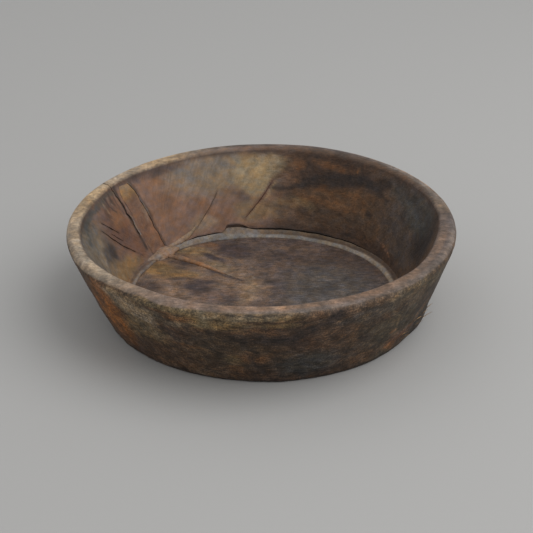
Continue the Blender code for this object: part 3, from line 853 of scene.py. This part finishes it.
# Strokes along a path: tone, half width in mm, strength and the path's points, across and up.
INNER_STROKES = (
    ("soot", 1.8, 0.75, (87, 42), (80, 44), (74, 47)),
    ("soot", 4.4, 0.85, (74, 47), (66, 51), (57, 54), (45, 56), (40, 60)),
    ("dark umber", 1.2, 0.45, (79, 66), (79.5, 58), (83, 52), (87, 47)),
    ("soot", 3, 0.5, (36, 66), (22, 58), (8, 56)),
    # Painted shade just inside the rim at the left.
    ("teal", 2.2, 0.7, (186, 52), (180, 57), (170, 61), (160, 63), (154, 64)),
    ("dark umber", 1.2, 0.4, (88, 30), (60, 22), (30, 19)),
)
INNER_FINE_STROKES = (
    ("soot", 1.5, 0.8, *SPLIT_LEFT), ("soot", 1.5, 0.65, *shifted(STRIP_RIGHT, -0.5)),
    ("putty", 0.7, 0.5, *STRIP_RIGHT[:4]), ("dark umber", 0.9, 0.5, *shifted(STRIP_LEFT, 0.3)),
    ("russet", 1.1, 0.7, *CHECKS["check_back"][0]),
    ("dark umber", 0.9, 0.6, *CHECKS["check_left_low"][0]),
    ("umber", 0.7, 0.5, *CHECKS["check_back_left"][0]),
    ("dark umber", 0.9, 0.6, *CHECKS["check_left_high"][0]),
    ("russet", 1.7, 0.8, (91.5, 33), (86.2, 48)),
    ("flame", 0.6, 0.4, *shifted(CHECKS["check_back"][0], -1.4)),
    ("rust", 0.8, 0.6, (53, 65), (54, 62)),
    ("soot", 0.8, 0.75, (159, 63), (158.2, 56), (156.8, 50)),
    ("soot", 0.8, 0.6, (156, 63), (155.4, 55)),
    ("soot", 0.6, 0.55, (153.8, 62), (154, 54), (153.2, 47)),
    ("pale clay", 0.7, 0.45, (161, 61), (160.4, 53)),
    ("pale clay", 0.5, 0.35, (157.4, 62), (156.6, 56)),
    ("dark umber", 0.5, 0.6, (156, 20), (152, 14.5)),
    # The soot lines about 15 mm up, from azimuth 30 to 97, are painted shade in the gap above the
    # bead.
    ("soot", 0.4, 0.5, (97, 15), (80, 14.4), (66, 15)),
    ("soot", 0.5, 0.5, (60, 15.5), (42, 17), (30, 16)),
    ("soot", 0.5, 0.45, (80, 55), (60, 58), (46, 59)),
    ("soot", 0.45, 0.5, (72, 47.5), (54, 50.5), (36, 51)), ("mauve", 0.5, 0.7, (31, 22), (23, 17)),
    ("mauve", 0.4, 0.6, (36, 24), (27, 18)),
)
OUTER_STROKES = (
    ("soot", 4, 0.8, (290, 63), (283, 52), (277, 44), (270, 41)),
    ("soot", 1.3, 0.6, (265, 30), (267, 20), (271, 8)),
    ("khaki", 1, 0.3, (306, 62), (312, 40), (316, 20)),
)
OUTER_FINE_STROKES = (
    ("rust", 0.6, 0.8, (331, 30), (322, 17), (315, 8)),
    ("soot", 0.5, 0.7, (334, 26), (326, 15), (320, 7)),
    ("soot", 0.5, 0.6, (327, 33), (319, 20), (312, 12)),
    ("rust", 0.5, 0.7, (336, 33), (329, 22), (323, 12)), ("sand", 0.4, 0.5, (324, 26), (317, 16)),
    ("sand", 0.4, 0.45, (333, 20), (327, 12)),
)
FLOOR_STROKES = (
    ("ink", 1.5, 0.75, (-70, 58), (-48, 45), (-31, 27), (-18, 19)),
    ("umber", 1, 0.6, (-74, 66), (-40, 41)), ("pale clay", 0.9, 0.5, (-34, 33), (-20, 24)),
    ("bone", 0.7, 0.7, (-9, 41), (-6, 40.4)), ("bone", 0.6, 0.6, (-9, 24), (-6.5, 23.2)),
    ("ink", 0.8, 0.4, (-82, 34), (-50, 30)),
)

# The azimuth in the middle of each wall's tables, and the tables.
INNER_WALL = (90, INNER_STAINS_AND_SHADE, INNER_STROKES, INNER_FINE_STROKES)
OUTER_WALL = (270, OUTER_STAINS, OUTER_STROKES, OUTER_FINE_STROKES)
# The tone that each piece of filler starts from; the bead starts from the wall's own paint.
FILLER_TONES = {
    "wall_strip": "strip", "split_edge_fill": "putty", "floor_split_fill": "floor fill",
    "corner_patch": "patch", "check_fill": "patch",
}

# The rim's tones round the bowl: tone, azimuth, half reach in degrees and strength.
RIM_STAINS = (
    ("rim tan", 145, 40, 1), ("rim gold", 166, 12, 0.6), ("rim gold", 126, 14, 0.45),
    ("rim grey", 142, 9, 0.35), ("rim tan", 205, 34, 0.75), ("rim brown", 255, 30, 0.8),
    ("rim brown", 300, 14, 0.7), ("rim grey", 326, 16, 0.8), ("rim dark", 78, 36, 0.95),
    ("rim orange", 312, 18, 0.5), ("rim dark", 330, 10, 0.35), ("rim dark", 352, 20, 0.85),
    ("rim gold", 9, 5, 0.2), ("rim dark", 285, 5, 0.3),
)


def lay(paint, cover, name):
    """Covers the paint with a tone, by a share from 0 to 1 at each point."""
    paint += np.clip(cover, 0, 1)[:, None] * (TONES[name] - paint)


def stain(paint, across, up, unit, name, x, y, half_x, half_y, strength, tilt=0):
    """Lays a soft oval stain, in places painted shade; unit is how many mm one step of the table is
    across.
    """
    cos, sin = math.cos(math.radians(tilt)), math.sin(math.radians(tilt))
    right, over = across - x * unit, up - y
    along, over = right * cos + over * sin, over * cos - right * sin
    reach = np.hypot(along / (half_x * unit), over / half_y)
    lay(paint, strength * smooth(reach, 1.3, 0.5), name)


def stroke(paint, across, up, unit, name, half, strength, *path):
    """Lays a soft line of a tone along a path."""
    path = np.array(path) * (unit, 1.0)
    nearest = np.full(len(across), np.inf)
    for start, stop in zip(path[:-1], path[1:]):
        step = stop - start
        right, over = across - start[0], up - start[1]
        share = np.clip((right * step[0] + over * step[1]) / (step @ step), 0, 1)
        nearest = np.minimum(nearest, np.hypot(right - share * step[0], over - share * step[1]))
    lay(paint, strength * smooth(nearest, half * 1.5, half * 0.4), name)


def wandering(points, seed):
    """How far stain edges wander at each point, across and up, in mm."""
    drawn = points * (0.55, 1.0, 1.0)
    return [
        3.0 * fractal(drawn, 10, seed + k, 2) + 1.6 * fractal(drawn, 3.4, seed + k + 5, 2)
        for k in (0, 10)
    ]


def richer(paint, amount):
    """Paint with its colours pushed away from grey by an amount at each point."""
    grey = paint.mean(axis=1, keepdims=True)
    return np.clip(grey + (paint - grey) * np.reshape(amount, (-1, 1)), 0.002, 1)


def mottled(paint, points, amount):
    """Paint with cloudy light and dark, and warm and cool, at the scale of a few millimetres."""
    drawn = points * (0.9, 0.6, 1)
    light = 0.20 * fractal(drawn, 3.5, 141, 3) + 0.16 * fractal(points, 11, 142, 2)
    warm = 0.09 * fractal(drawn, 6, 143, 2) * np.minimum(amount, 1.0)
    paint = paint * np.exp(light * amount)[:, None]
    return paint * np.stack([1 + warm, 1 + 0 * warm, 1 - 1.3 * warm], axis=1)


def wall_paint(points, base, wander, middle, stains, strokes, fine_strokes):
    """A wall's colours: stains, with painted shade in places, and strokes with wandering edges,
    then fine strokes; middle is the azimuth that the tables are drawn round."""
    across, up = round_from(azimuths(points), middle) * DEGREE, points[:, 2] / MM
    paint = base.copy()
    for entry in stains:
        stain(paint, across + wander[0], up + wander[1], DEGREE, *entry)
    for entry in strokes:
        stroke(paint, across + wander[0], up + wander[1], DEGREE, *entry)
    for entry in fine_strokes:
        stroke(paint, across + 0.3 * wander[0], up + 0.3 * wander[1], DEGREE, *entry)
    return paint


def floor_paint(points):
    """The floor's colours, in stains and strokes drawn out along the grain."""
    paint = np.tile(TONES["floor brown"], (len(points), 1))
    wander = 3.4 * fractal(points * (0.4, 1, 1), 9, 121, 3)
    x, y = points[:, 0] / MM, points[:, 1] / MM
    for entry in FLOOR_STAINS:
        stain(paint, x + 1.5 * wander, y + wander, 1, *entry)
    for entry in FLOOR_STROKES:
        stroke(paint, x + 0.3 * wander, y + 0.3 * wander, 1, *entry)
    return paint


def rim_paint(points, radius, lift, wander):
    """The rim's colours: tones round the bowl, a paler outer edge and a darker inner one."""
    degrees = azimuths(points)
    angle = np.radians(degrees)
    paint = np.tile(TONES["rim grey"], (len(points), 1))
    for name, azimuth, reach, strength in RIM_STAINS:
        away = np.abs(round_from(degrees, azimuth) - azimuth + wander * 1.2)
        lay(paint, strength * smooth(away, reach * 1.4, reach * 0.4), name)
    inward = (R - radius) / MM
    front = smooth(np.sin(angle), 0.1, -0.3)
    front_right = smooth(np.cos(angle - math.radians(305)), 0.55, 0.85)
    lay(paint, 0.35 * smooth(inward, 4.5, 2.5) * front, "rim grey")
    lay(paint, 0.5 * front_right * smooth(inward, 5.5, 7.5), "rim orange")
    lay(paint, 0.7 * front_right * smooth(inward, 5.0, 3.5), "rim grey")
    edge, _ = wall_point(degrees, RIM_HEIGHT + lift - RIM_INNER_ROUND)
    from_edge = (radius - ideal_radius(edge)) / MM
    lay(paint, 0.5 * smooth(from_edge, 3.2, 1.2), "rim dark")
    lay(paint, 0.45 * smooth(apart(degrees, 315), 40, 18), "rim dark")
    at_back = window(degrees, 10, 25, 100, 118)
    lay(paint, 0.75 * smooth(inward, 4.5, 2.0) * at_back, "rim orange")
    return paint


def paint_body(points):
    """The block's colours at each vertex, stains with painted shade in cracks, gaps, under the rim
    and low on the foot, and how worn, ray-grained and rough it is there.
    """
    radius, height = ideal_radius(points), points[:, 2]
    degrees = azimuths(points)
    angle = np.radians(degrees)
    right, back = np.cos(angle), np.sin(angle)
    lift = wave(RIM_LIFT, angle)
    up, down = height / MM, (RIM_HEIGHT + lift - height) / MM
    is_outer = radius > (inner_radius(height) + outer_radius(height)) / 2
    on_floor = (height < FLOOR_HEIGHT + 1.2 * MM) & (radius < BEAD_TOE + 3.5 * MM) & (up > 2)
    wander = wandering(points, 101)
    # A slow drift between browns under everything, for the sides nothing else covers.
    drift = fractal(points, 42, 111, 3)
    paint = np.tile(TONES["umber"], (len(points), 1))
    lay(paint, smooth(drift, 0.1, 0.6), "dull brown")
    lay(paint, smooth(drift, -0.1, -0.6), "dark umber")
    outer = wall_paint(points, paint, wander, *OUTER_WALL)
    inner = wall_paint(points, paint, wander, *INNER_WALL)
    paint = np.where(is_outer[:, None], outer, inner)
    paint = np.where(on_floor[:, None], floor_paint(points), paint)

    # The worn rim. Its limit on the outside wanders over the rounding.
    limit = 0.5 + 1.0 * smooth(noise(points, 30, 134), -0.2, 0.6) + 0.4 * noise(points, 9, 131)
    limit += 1.4 * smooth(right, 0.85, 0.98) + 2.4 * smooth(-right, 0.6, 0.95)
    limit = np.where(is_outer, limit, 1.5)
    on_rim = smooth(down, limit + 0.4, limit - 0.4)
    # At the back the wear only reaches the outer half of the rim.
    half_way = radius / MM + 0.8 * noise(points, 7, 136)
    inner_half = smooth(half_way, R / MM - 6.0, R / MM - 8.0)
    on_rim = on_rim * (1 - window(degrees, 5, 25, 105, 125) * inner_half)
    paint += on_rim[:, None] * (rim_paint(points, radius, lift, wander[0]) - paint)
    inner_line = band(down, 2.2, 1.5) * ~is_outer
    lay(paint, 0.7 * inner_line * smooth(noise(points, 15, 132), -0.9, 0.1), "dark umber")
    # Below the rim the front is olive and khaki, with a line of painted shade under the rim's edge
    # in places.
    shoulder = smooth(down, 6, 4) * is_outer * smooth(apart(degrees, 256), 29, 16) * (1 - on_rim)
    lay(paint, 0.85 * shoulder, "olive")
    lay(paint, 0.5 * shoulder * smooth(apart(degrees, 263), 14, 7), "khaki")
    under_rim_shade = 0.5 * smooth(noise(points, 25, 133), 0.0, 0.6) * smooth(-back, -0.2, 0.2)
    under_rim_shade = np.maximum(under_rim_shade, smooth(apart(degrees, 268), 12, 6))
    lay(paint, 0.75 * band(down, limit + 0.8, 0.5) * is_outer * under_rim_shade, "soot")
    # Painted shade low on the outside and on the foot, and raw fibres where the foot has torn.
    foot_shade = smooth(up + 1.5 * noise(points, 8, 135), 5.5, 1.0) * is_outer
    lay(paint, 0.75 * foot_shade, "soot")
    # The loose fibres are painted pale: raw wood, with a painted highlight.
    stands_off = (radius - outer_radius(height) - foot_spread(angle, height)) / MM
    torn_side = smooth(np.cos(angle - math.radians(332)), 0.95, 0.975) * smooth(up, 30, 26)
    lay(paint, 0.85 * torn_side * smooth(stands_off, 0.5, 0.9), "rim gold")

    # Colour, rays and roughness differ between the outside, the inside, the floor and the rim.
    from_knot = np.hypot(*(points - KNOT)[:, :2].T) / MM
    near_knot = smooth(from_knot, 130, 60) * ~is_outer * (1 - 0.7 * on_rim)
    near_knot = np.where(on_floor, 0.5 * smooth(from_knot, 75, 35), near_knot)
    at_right = smooth(degrees, 95, 60) * smooth(degrees, -60, 0)

    def by_part(outside, inside, floor, rim):
        """A value for each part of the bowl, which turns into the rim's where the rim is worn."""
        part = np.where(on_floor, floor, np.where(is_outer, outside, inside))
        return part * (1 - on_rim) + rim * on_rim

    rough = by_part(2.2, 1.15 - 0.55 * near_knot, 1.55, 1.4)
    paint = richer(paint, by_part(1.2, 1.05 + 0.2 * at_right, 1.12, 1.3))
    paint = mottled(paint, points, by_part(1.5, 1.0, 1.5, 2.4))
    # Inside cracks, and in the rebate behind the bead, the wood is painted almost black: dirt in
    # the cracks, and painted shade in the cracks and the rebate.
    surface, _ = wall_point(degrees, np.clip(height, BEAD_TOP, None))
    sunk = (np.hypot(*points[:, :2].T) - np.hypot(*surface[:, :2].T)) / MM
    in_wall = ~is_outer & ~on_floor & (down > 5)
    lay(paint, smooth(sunk, 0.9, 1.6) * in_wall, "crack dirt and shade")
    lay(paint, 0.85 * (on_floor & (height < FLOOR_HEIGHT - 0.7 * MM)), "crack dirt and shade")
    # Painted shade in the gap that opens above the bead at the back.
    _, bead_top, bead_gap = bead_edges(angle)
    above = (height - bead_top - bead_gap) / MM
    shaded_gap = smooth(bead_gap / MM, 0.3, 0.8)
    lay(paint, 0.85 * smooth(above, 1.6, 0.2) * shaded_gap * in_wall, "soot")
    return {"paint": paint, "worn": on_rim, "near_knot": near_knot, "coarse": rough}


def paint_bead(points, degrees, radius, drift):
    """The bead's colours: the wall's, but for a pale band of filler along its toe, with a painted
    highlight on its crest and painted shade behind it and in the rebate.
    """
    umber = np.tile(TONES["umber"], (len(points), 1))
    paint = wall_paint(points, umber, wandering(points, 101), *INNER_WALL)
    toe, top, _ = bead_edges(np.radians(degrees))
    toe_line = warped(np.radians(degrees), toe, FLOOR_HEIGHT + 0 * toe)
    inward = radius - np.hypot(*toe_line[:, :2].T) / MM
    width = 2.3 + 1.3 * window(degrees, -5, 20, 103, 106) + 0.6 * drift
    width += 4 * window(degrees, 103, 110, 142, 150)
    # The pale band is pale filler, with a painted highlight along its crest.
    pale = smooth(inward, width + 0.7, width - 0.5)
    # Painted shade in the hollow behind the crest.
    shade_behind = band(inward - width, 1.5, 1.2) * (0.8 + 0.6 * drift)
    shade_behind = shade_behind * np.maximum(smooth(degrees, 148, 156), smooth(degrees, 94, 62))
    # Painted shade where the bead runs into the rebate behind the wall's edge.
    edge, _ = wall_point(degrees, top)
    rebate_shade = smooth(radius - np.hypot(*edge[:, :2].T) / MM, 0.4, 0.9)
    for cover, name in (
        # The dull brown from azimuth 20 to 120 is painted shade on the bead's back.
        (0.35 + 0 * radius, "brown putty"), (0.6 * window(degrees, 20, 50, 105, 120), "dull brown"),
        (0.45 * window(degrees, 88, 94, 106, 112), "putty"), (0.9 * pale, "putty"),
        (0.5 * pale * smooth(drift, -0.1, -0.5), "bone"),
        (0.45 * pale * smooth(degrees, 60, 40), "bone"),
        (0.2 * pale * smooth(degrees, 50, 25), "ochre"),
        (0.5 * pale * window(degrees, 140, 150, 250, 330), "brown putty"),
        (0.8 * shade_behind, "dark umber"), (0.5 * smooth(drift, 0.2, 0.6), "floor brown"),
        (0.8 * smooth(inward, 0.5, 0.0), "dark umber"), (rebate_shade, "crack dirt and shade"),
    ):
        lay(paint, cover, name)
    return paint


def paint_filler(points, node):
    """The colours of a piece of filler at each vertex."""
    degrees = azimuths(points) % 360
    radius, height = np.hypot(*points[:, :2].T) / MM, points[:, 2] / MM
    drift, blotches = fractal(points, 9, 151, 3), noise(points, 7, 152)
    if node == "corner_bead":
        paint = paint_bead(points, degrees, radius, drift)
    else:
        paint = np.tile(TONES[FILLER_TONES[node]], (len(points), 1))
    for cover, name in {
        "wall_strip": (
            (0.85 * smooth(height, 50, 58), "honey"), (0.5 * smooth(height, 62, 66), "plum"),
            (0.4 * smooth(drift, 0, 0.5), "russet"), (0.4 * smooth(drift, 0, -0.5), "pale clay"),
        ),
        "split_edge_fill": (
            (0.9 * smooth(blotches, -0.1, 0.2), "russet"),
            (0.6 * smooth(blotches, -0.2, -0.5), "bone"),
        ),
        "corner_patch": (
            (0.6 * smooth(drift, 0.0, 0.4), "mauve"), (0.5 * smooth(drift, -0.1, -0.5), "putty"),
        ),
        "check_fill": ((0.7 * smooth(degrees, 130, 122), "khaki"),),
        "floor_split_fill": (
            (0.7 * smooth(drift, -0.1, 0.4), "floor tan"),
            (0.6 * smooth(radius, 60, 45), "floor tan"),
        ),
    }.get(node, ()):
        lay(paint, cover, name)
    full = np.ones(len(points))
    return {
        "paint": mottled(richer(paint, 1.15 * full), points, 1.3 * full),
        "worn": 0 * full, "near_knot": full, "coarse": full,
    }


def give_layer(piece, name, values):
    """Stores a number or a colour at each vertex of a piece, for its material to read."""
    colour = values.ndim == 2
    layer = piece.data.attributes.new(name, "FLOAT_COLOR" if colour else "FLOAT", "POINT")
    if colour:
        values = np.hstack([np.clip(values, 0, 1), np.ones((len(values), 1))])
    flat = np.asarray(values, dtype=np.float32).ravel()
    layer.data.foreach_set("color" if colour else "value", flat)


# ---------------------------------------------------------------- materials

# Sheen of both materials, and how deep their bumps are in metres.
SPECULAR = 0.35
WOOD_RELIEF, FILLER_RELIEF = 0.0009, 0.0010
WOOD_ROUGHNESS, FILLER_ROUGHNESS = 0.66, 0.72
COOL_TINT, WARM_TINT = (0.93, 1.0, 1.12, 1), (1.10, 1.0, 0.84, 1)
# How the noises are stretched along X, Y and Z; wood fibres run along X.
FIBRE_STRETCH, COARSE_STRETCH = (0.26, 1.0, 1.0), (0.60, 0.75, 1.0)
PATCH_STRETCH, HUE_STRETCH = (0.90, 0.60, 1.0), (0.65, 0.85, 1.0)


class Nodes:
    """Short calls for building a material's node tree."""

    def __init__(self, name):
        self.material = bpy.data.materials.new(name)
        self.material.use_nodes = True
        self.tree = self.material.node_tree
        self.shader = self.tree.nodes["Principled BSDF"]
        self.place = self.node("ShaderNodeTexCoord").outputs["Object"]

    def node(self, kind, links=(), **settings):
        made = self.tree.nodes.new(kind)
        for key, value in settings.items():
            setattr(made, key, value)
        for socket, source in dict(links).items():
            if isinstance(source, bpy.types.NodeSocket):
                self.tree.links.new(source, made.inputs[socket])
            else:
                made.inputs[socket].default_value = source
        return made

    def math(self, operation, first, second=0.0):
        return self.node("ShaderNodeMath", {0: first, 1: second}, operation=operation).outputs[0]

    def product(self, first, *others):
        for other in others:
            first = self.math("MULTIPLY", first, other)
        return first

    def vector(self, operation, first, second=(0, 0, 0), output="Vector", **links):
        links = {0: first, 1: second, **links}
        return self.node("ShaderNodeVectorMath", links, operation=operation).outputs[output]

    def mix(self, share, first, second):
        links = {"Factor": share, "A": first, "B": second}
        return self.node("ShaderNodeMix", links, data_type="FLOAT").outputs[0]

    def spread(self, value, low, high, bottom, top):
        """Maps low..high of a value to bottom..top, without going outside."""
        links = {"Value": value, "From Min": low, "From Max": high, "To Min": bottom, "To Max": top}
        return self.node("ShaderNodeMapRange", links).outputs["Result"]

    def contrast(self, value, bottom, top):
        """Maps the usual range of a noise to bottom..top."""
        return self.spread(value, 0.3, 0.7, bottom, top)

    def noise(self, vector, scale, detail=3.0, roughness=0.55, output="Fac"):
        links = {"Vector": vector, "Scale": scale, "Detail": detail, "Roughness": roughness}
        return self.node("ShaderNodeTexNoise", links).outputs[output]

    def layer(self, name, output="Fac"):
        """What paint_body or paint_filler stored at the vertices."""
        made = self.node("ShaderNodeAttribute", attribute_name=name, attribute_type="GEOMETRY")
        return made.outputs[output]

    def finish(self, shade, hue, roughness, height, distance, strength):
        """Shades the paint, makes it warmer or cooler by hue, and joins all to the shader."""
        links = {"Factor": self.spread(hue, 0.36, 0.64, 0.0, 1.0)}
        tint = self.node("ShaderNodeMix", links, data_type="RGBA")
        tint.inputs["A"].default_value = COOL_TINT
        tint.inputs["B"].default_value = WARM_TINT
        colour = self.vector("MULTIPLY", self.layer("paint", "Color"), tint.outputs["Result"])
        colour = self.vector("SCALE", colour, Scale=shade)
        links = {"Height": height, "Distance": distance, "Strength": strength}
        relief = self.node("ShaderNodeBump", links).outputs["Normal"]
        for name, source in (("Base Color", colour), ("Roughness", roughness), ("Normal", relief)):
            self.tree.links.new(source, self.shader.inputs[name])
        self.shader.inputs["Specular IOR Level"].default_value = SPECULAR
        return self.material


def wood_material(name, fibre=1.0, pores=1.0, bump=0.55):
    """Old oiled wood: painted stains and painted shade, fibres along X, rays round the knot, pores,
    a dull sheen.
    """
    n = Nodes(name)
    bend = n.noise(n.place, 45.0, 2.0, output="Color")
    links = {0: bend, 1: (0.006, 0.006, 0.006), 2: n.place}
    bent = n.node("ShaderNodeVectorMath", links, operation="MULTIPLY_ADD").outputs[0]
    fibres = n.noise(n.vector("MULTIPLY", bent, FIBRE_STRETCH), 640.0, 4.0, 0.6)
    coarse = n.noise(n.vector("MULTIPLY", bent, COARSE_STRETCH), 220.0, 4.0, 0.65)
    patches = n.noise(n.vector("MULTIPLY", bent, PATCH_STRETCH), 105.0, 4.0, 0.6)
    # Rays: noise that changes with the plan angle round the knot, and slowly along it and up.
    away = n.vector("SUBTRACT", bent, tuple(KNOT))
    parts = n.node("ShaderNodeSeparateXYZ", {0: away}).outputs
    turn = n.math("ARCTAN2", parts["Y"], parts["X"])
    in_plan = n.vector("MULTIPLY", away, (1.0, 1.0, 0.0))
    length = n.vector("LENGTH", in_plan, output="Value")
    polar = n.node("ShaderNodeCombineXYZ", {
        "X": n.product(turn, 0.075), "Y": n.product(length, 0.10), "Z": n.product(parts["Z"], 0.12),
    }).outputs[0]
    rays = n.noise(polar, 560.0, 4.0, 0.6)
    grain = n.mix(n.layer("near_knot"), fibres, rays)
    grit = n.noise(n.place, 900.0, 2.0, 0.7)
    fine = n.contrast(n.noise(n.place, 1050.0, 2.0, 0.6), 0.74, 1.26)
    shade = n.product(
        n.contrast(grain, 1 - 0.30 * fibre, 1 + 0.26 * fibre),
        n.contrast(coarse, 0.84, 1.14),
        n.math("POWER", fine, n.product(n.layer("coarse"), 0.5)),
        n.spread(grit, 0.60, 0.74, 1.0, 1 - 0.45 * pores),
        n.spread(grit, 0.27, 0.36, 1 + 0.35 * pores, 1.0),
        # Patches with crisp edges, some darker and some paler.
        n.spread(patches, 0.53, 0.58, 1.0, 0.84),
        n.spread(patches, 0.40, 0.45, 1.12, 1.0),
    )
    shade = n.math("POWER", shade, n.layer("coarse"))
    # The worn rim shows scuffs and pores more than fibres.
    worn = n.layer("worn")
    scuffs = n.spread(n.noise(n.place, 300.0, 4.0, 0.7), 0.34, 0.66, 0.60, 1.40)
    scuffs = n.product(scuffs, n.math("POWER", shade, 0.6))
    shade = n.mix(n.product(worn, 0.8), shade, scuffs)
    hue = n.noise(n.vector("MULTIPLY", bent, HUE_STRETCH), 240.0, 3.0)
    hue = n.product(n.math("SUBTRACT", hue, 0.5), n.spread(worn, 0.0, 1.0, 1.0, 0.35))
    dull = n.contrast(coarse, WOOD_ROUGHNESS + 0.10, WOOD_ROUGHNESS - 0.10)
    roughness = n.math("SUBTRACT", dull, n.product(worn, 0.08))
    height = n.math("ADD", n.product(grain, 0.55), n.product(coarse, 0.5))
    height = n.math("ADD", height, n.product(grit, 0.35 * pores))
    return n.finish(shade, n.math("ADD", 0.5, hue), roughness, height, WOOD_RELIEF, bump)


def filler_material(name):
    """Old putty: painted stains, painted highlight and shade, a gritty, crumbly surface and small
    pits.
    """
    n = Nodes(name)
    lumps = n.noise(n.place, 330.0, 4.0, 0.6)
    grit = n.noise(n.place, 1200.0, 3.0, 0.65)
    links = {"Vector": n.place, "Scale": 420.0}
    pits = n.node("ShaderNodeTexVoronoi", links).outputs["Distance"]
    shade = n.product(
        n.contrast(lumps, 0.78, 1.20), n.contrast(grit, 0.84, 1.16),
        n.spread(pits, 0.05, 0.30, 0.75, 1.0),
    )
    roughness = n.contrast(lumps, FILLER_ROUGHNESS + 0.08, FILLER_ROUGHNESS - 0.12)
    height = n.math("ADD", n.product(lumps, 0.6), n.product(grit, 0.4))
    return n.finish(shade, n.noise(n.place, 240.0, 2.0), roughness, height, FILLER_RELIEF, 0.6)


# ---------------------------------------------------------------- stage

STAGE_SIZE = 8.0
STAGE_COLOUR = (0.37, 0.367, 0.36, 1)
SKY_COLOUR, SKY_STRENGTH = (0.84, 0.84, 0.84, 1), 0.85
LAMP_PLACE, LAMP_SIZE, LAMP_ENERGY = Vector((0.95, -0.35, 1.35)), 1.8, 17.0
CAMERA_ELEVATION = math.radians(26.80)
CAMERA_AIM, CAMERA_DISTANCE = Vector((0, 0, 0.15 * R)), 7.5 * R
CAMERA = {"sensor_width": 36.0, "lens": 97.0, "shift_x": 0.0054, "shift_y": 0.0191}


def build_stage():
    """A plain pale floor, an overcast sky and one large soft light."""
    bpy.ops.mesh.primitive_plane_add(size=STAGE_SIZE)
    floor = bpy.context.object
    floor.name = "studio_floor"
    paint = bpy.data.materials.new("studio_floor")
    paint.use_nodes = True
    shader = paint.node_tree.nodes["Principled BSDF"]
    shader.inputs["Base Color"].default_value = STAGE_COLOUR
    shader.inputs["Roughness"].default_value = 0.9
    floor.data.materials.append(paint)
    world = bpy.data.worlds.new("overcast")
    bpy.context.scene.world = world
    world.use_nodes = True
    sky = world.node_tree.nodes["Background"]
    sky.inputs["Color"].default_value = SKY_COLOUR
    sky.inputs["Strength"].default_value = SKY_STRENGTH
    lamp = bpy.data.lights.new("soft_sky", "AREA")
    lamp.shape = "DISK"
    lamp.size = LAMP_SIZE
    lamp.energy = LAMP_ENERGY
    holder = bpy.data.objects.new("soft_sky", lamp)
    holder.location = LAMP_PLACE
    holder.rotation_euler = (-LAMP_PLACE).to_track_quat("-Z", "Y").to_euler()
    bpy.context.scene.collection.objects.link(holder)


def build_camera():
    """A long lens 27 degrees above the floor, in front of the bowl."""
    camera = bpy.data.objects.new("camera", bpy.data.cameras.new("camera"))
    bpy.context.scene.collection.objects.link(camera)
    towards = Vector((0, -math.cos(CAMERA_ELEVATION), math.sin(CAMERA_ELEVATION)))
    camera.location = CAMERA_AIM + CAMERA_DISTANCE * towards
    camera.rotation_euler = (math.pi / 2 - CAMERA_ELEVATION, 0, 0)
    for key, value in CAMERA.items():
        setattr(camera.data, key, value)
    bpy.context.scene.camera = camera


pieces = build_pieces()
finishes = {
    "bowl_body": wood_material("aged_wood"),
    "wall_strip": wood_material("filled_strip", fibre=0.5, pores=0.6, bump=0.4),
    "corner_bead": filler_material("grey_putty"),
}
brown_putty = filler_material("brown_putty")
for node, piece in pieces.items():
    piece.data.shade_smooth()
    piece.data.set_sharp_from_angle(angle=SHARP_ANGLE)
    points = coordinates(piece)
    layers = paint_body(points) if node == "bowl_body" else paint_filler(points, node)
    for name, values in layers.items():
        give_layer(piece, name, values)
    piece.data.materials.clear()
    piece.data.materials.append(finishes.get(node, brown_putty))
    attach(piece, "root")
    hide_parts(node)
build_stage()
build_camera()
bpy.context.scene.view_settings.view_transform = "Standard"
